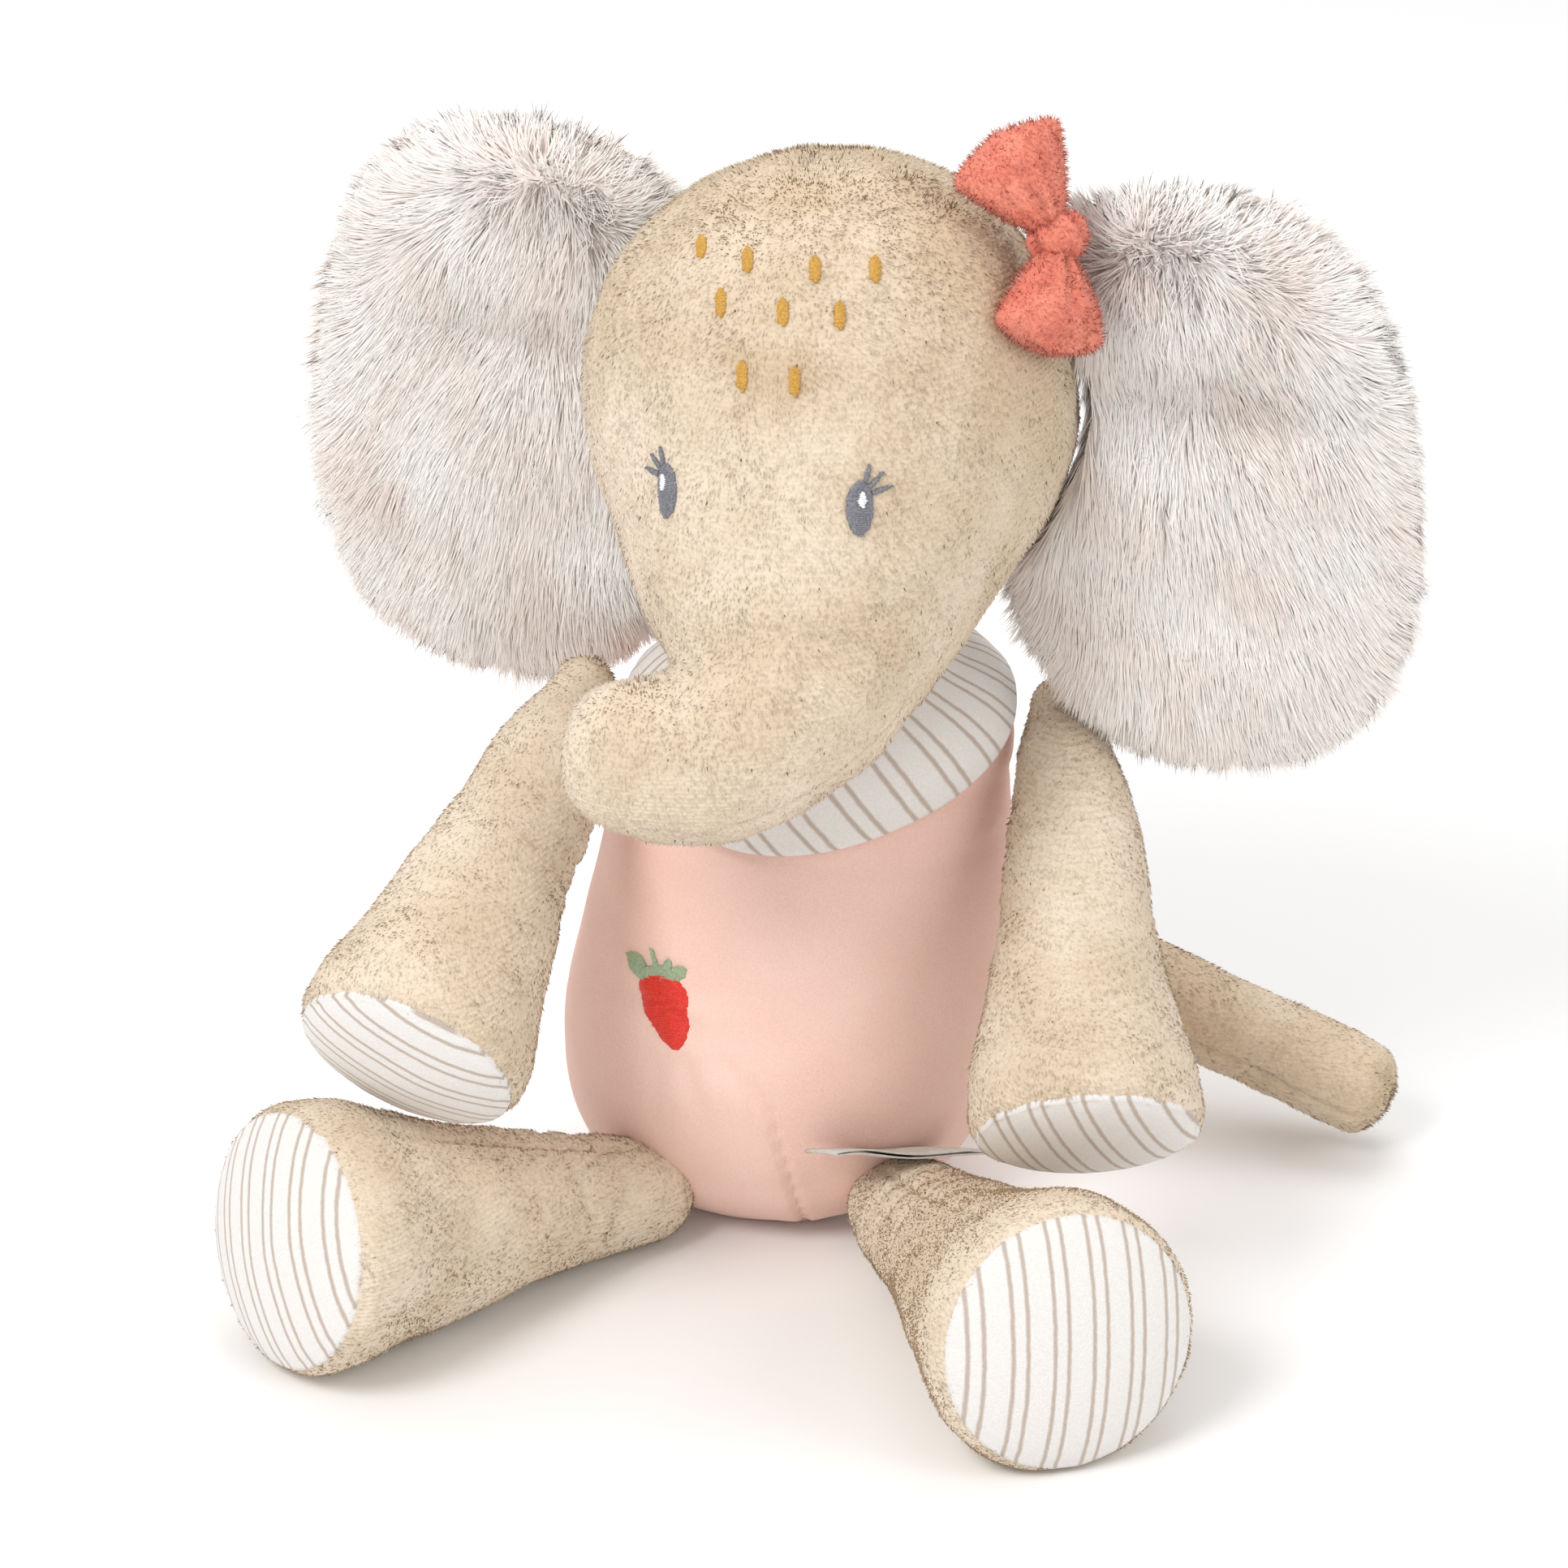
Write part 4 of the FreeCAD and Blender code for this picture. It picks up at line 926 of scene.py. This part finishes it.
# ---------------------------------------------------------------- embroidery
def on_skin(tree, origin, outward):
    """Spot where a ray leaves a skin, and its axes: x level, y up the skin, z outwards."""
    hit, normal, _, _ = tree.ray_cast(Vector(np.asarray(origin) + unit(outward) * 150), Vector(-unit(outward)))
    normal = unit(normal)
    x = unit(np.array([1.0, 0, 0]) - normal * normal[0])
    return np.array(hit), np.stack([x, np.cross(normal, x), normal], 1)


def satin(name, tree, spot, m, outline, pitch, rise, turn, material, node, body):
    """A satin-stitched patch: threads side by side that follow the skin. outline(v) gives its two edges."""
    c, s = math.cos(math.radians(turn)), math.sin(math.radians(turn))
    low, high = outline[0][0], outline[-1][0]
    rows = max(int((high - low) / pitch), 3) * 4
    columns = 17
    v = np.linspace(low, high, rows + 1)
    left = curve(v, [o[0] for o in outline], [o[1] for o in outline])
    right = curve(v, [o[0] for o in outline], [o[2] for o in outline])
    random = np.random.default_rng(len(name))
    ragged = random.normal(scale=0.10, size=(2, rows // 4 + 2))
    left = left + ragged[0][(np.arange(rows + 1) // 4)]
    right = right + ragged[1][(np.arange(rows + 1) // 4)]
    u = np.linspace(0, 1, columns)
    x = left[:, None] + (right - left)[:, None] * u
    y = np.repeat(v[:, None], columns, 1)
    ridge = np.abs(np.sin(np.arange(rows + 1) * math.pi / 4))[:, None]
    dome = np.sin(math.pi * np.clip(u, 0.02, 0.98))[None] ** 0.5
    height = rise * dome * (0.72 + 0.28 * ridge)
    px, py = x * c - y * s, x * s + y * c
    flat = spot + px[..., None] * m[:, 0] + py[..., None] * m[:, 1]
    top = np.empty(flat.shape)
    under = np.empty(flat.shape)
    for index in np.ndindex(px.shape):
        hit, normal, _, _ = tree.ray_cast(Vector(flat[index] + m[:, 2] * 14), Vector(-m[:, 2]))
        ground = np.array(hit) if hit is not None else flat[index]
        top[index] = ground + m[:, 2] * (height[index] + 0.25)
        under[index] = ground - m[:, 2] * 0.6
    points = np.concatenate([top.reshape(-1, 3), under.reshape(-1, 3)])
    n = (rows + 1) * columns
    upper = grid_faces(rows + 1, columns, wrap=False)
    ring = np.concatenate([np.arange(columns), (np.arange(1, rows + 1)) * columns + columns - 1,
                           n - 2 - np.arange(columns - 1), (np.arange(rows - 1, 0, -1)) * columns])
    nxt = np.roll(ring, -1)
    wall = np.stack([ring, ring + n, nxt + n, nxt], 1)
    patch = build(name, points, np.concatenate([upper, upper[:, ::-1] + n, wall]), material)
    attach(patch, body)
    if node:
        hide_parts(node)
    return patch


def oval(width, height, steps=9):
    v = np.linspace(-1, 1, steps)
    half = width / 2 * np.sqrt(np.clip(1 - v**2, 0.02, 1))
    return [(height / 2 * a, -b, b) for a, b in zip(v, half)]


def head_way(azimuth, rise):
    a, r = math.radians(azimuth), math.radians(rise)
    return FACE @ np.array([math.sin(a) * math.cos(r), -math.cos(a) * math.cos(r), math.sin(r)])


def make_face(skin):
    tree = skin_tree(skin)
    for side, azimuth, rise in (("right", -19.5, -4), ("left", 23.5, -2.5)):
        sign = 1 if side == "left" else -1
        spot, m = on_skin(tree, HEAD, head_way(azimuth, rise))
        satin(side + "_eye_iris", tree, spot, m, oval(5.4, 10.6), 0.42, 0.85, 0, GREY, side + "_eye", "head")
        shine = spot + m[:, 0] * 0.35 * sign + m[:, 1] * 1.7 + m[:, 2] * 0.75
        satin(side + "_eye_shine", tree, shine, m, oval(1.9, 3.2), 0.36, 1.35, 0, WHITE, side + "_eye_highlight",
              "head")
        for index, (angle, reach) in enumerate(((16, 4.4), (44, 4.2), (74, 3.6))):
            direction = math.radians(angle if sign > 0 else 180 - angle)
            root = spot + m[:, 0] * sign * (2.4 - 0.7 * index) + m[:, 1] * (2.9 + 1.0 * index)
            centre = root + (m[:, 0] * math.cos(direction) + m[:, 1] * math.sin(direction)) * reach * 0.5
            line = [(-reach / 2, -0.55, 0.55), (0, -0.5, 0.5), (reach / 2, -0.22, 0.22)]
            satin("%s_lash_%d" % (side, index), tree, centre, m, line, 0.36, 0.55, math.degrees(direction) - 90, GREY,
                  side + "_eye_lashes" if index == 0 else None, "head")
    rows = [(50, (-33, -12, 12, 33)), (39, (-15, 4, 20)), (24, (-4, 9))]
    count = 0
    for rise, azimuths in rows:
        for azimuth in azimuths:
            spot, m = on_skin(tree, HEAD, head_way(azimuth, rise))
            satin("dash_%d" % count, tree, spot, m, oval(2.4, 6.0, 7), 0.40, 0.8, 0, GOLD,
                  "forehead_stitches" if count == 0 else None, "head")
            count += 1


def make_berry(skin):
    tree = skin_tree(skin)
    spot, m = on_skin(tree, np.array([-22, 0, 55.5]), np.array([0, -1, 0]))
    m = m @ turn_z(-16)
    berry = [(-6.6, -0.4, 0.9), (-5.4, -1.9, 2.2), (-3, -3.4, 3.6), (0, -4.6, 4.7), (3, -5.1, 5.1), (5.2, -4.6, 4.7),
             (6.4, -3.2, 3.4)]
    satin("berry_patch", tree, spot, m, berry, 0.42, 0.9, 0, RED, "strawberry_berry", "torso")
    leaves = ((-4.4, 7.6, 3.2, 6.0, 52), (-4.9, 9.4, 2.4, 5.0, 62), (0.2, 6.9, 3.0, 8.4, 88), (4.2, 6.9, 2.4, 5.4, -70),
              (2.0, 7.4, 2.2, 5.0, -40), (-0.4, 9.0, 1.0, 5.0, 3))
    for index, (x, y, wide, tall, turn) in enumerate(leaves):
        centre = spot + m[:, 0] * x + m[:, 1] * y + m[:, 2] * 0.15 * index
        satin("leaf_%d" % index, tree, centre, m, oval(wide, tall, 7), 0.42, 0.7 + 0.05 * index, turn, GREEN,
              "strawberry_leaves" if index == 0 else None, "torso")


# ---------------------------------------------------------------- make everything
head = make_head()
make_face(head)
for ear_side in ("right", "left"):
    make_ear(ear_side)
torso = make_torso()
make_berry(torso)
ARM = [(0, 6.5), (0.28, 13.0), (0.5, 15.5), (0.72, 19.5), (0.92, 23.5), (1.0, 23.2)]
LEG = [(0, 11), (0.3, 15), (0.52, 19), (0.75, 24.1), (0.92, 27.5), (1.0, 27.0)]
make_limb("arm", "right", (-39, 0, 115), (-72.5, -70.6, 66.5), 92, 6.5, ARM, 21.5, 4.4, 70, (200,))
make_limb("arm", "left", (58.5, -1, 111), (62, -68, 49), 92, 6.5, ARM, 21.5, 4.4, 20, (330,))
make_limb("leg", "right", (-28, -24, 11.5), (-97, -76, 28.8), 88, 11, LEG, 25, 6.8, 10, (60,))
make_limb("leg", "left", (26, -31, 11.5), (60.5, -122, 28.8), 88, 11, LEG, 25, 6.8, 0, (120,))
make_tail()
make_scarf()
make_label()
make_bow()

# ---------------------------------------------------------------- floor, light, camera
scene = bpy.context.scene
scene.view_settings.view_transform = "Standard"
corner = 6000
floor_shader = Shader("floor_paper", roughness=0.85)
floor_shader.base(floor_shader.ramp(floor_shader.noise(3, 2), (0.3, (0.90, 0.90, 0.90)), (0.7, (0.92, 0.92, 0.92))))
floor = build("floor", [(-corner, -corner, 0), (corner, -corner, 0), (corner, corner, 0), (-corner, corner, 0)],
              [[0, 1, 2, 3]], floor_shader.material)

world = bpy.data.worlds.new("studio")
scene.world = world
world.use_nodes = True
world.node_tree.nodes["Background"].inputs["Color"].default_value = (1, 1, 1, 1)
world.node_tree.nodes["Background"].inputs["Strength"].default_value = 0.75


def area_light(name, spot, size, power):
    lamp = bpy.data.lights.new(name, "AREA")
    lamp.shape = "DISK"
    lamp.size = size
    lamp.energy = power
    thing = bpy.data.objects.new(name, lamp)
    scene.collection.objects.link(thing)
    thing.location = spot
    thing.rotation_euler = (Vector((0, 0, 0.1)) - Vector(spot)).to_track_quat("-Z", "Y").to_euler()


area_light("key", (-0.75, -0.9, 1.25), 0.7, 13)
area_light("fill", (1.1, -0.7, 0.8), 0.9, 4)
area_light("top", (0.1, 0.5, 1.4), 0.9, 5)

camera = bpy.data.objects.new("camera", bpy.data.cameras.new("camera"))
scene.collection.objects.link(camera)
scene.camera = camera
aim, elevation, distance = Vector((0.0018, 0, 0.0935)), math.radians(25), 1.2
camera.location = aim + Vector((0, -math.cos(elevation), math.sin(elevation))) * distance
camera.rotation_euler = (aim - camera.location).to_track_quat("-Z", "Y").to_euler()
camera.data.lens = 134.1
camera.data.sensor_width = 36
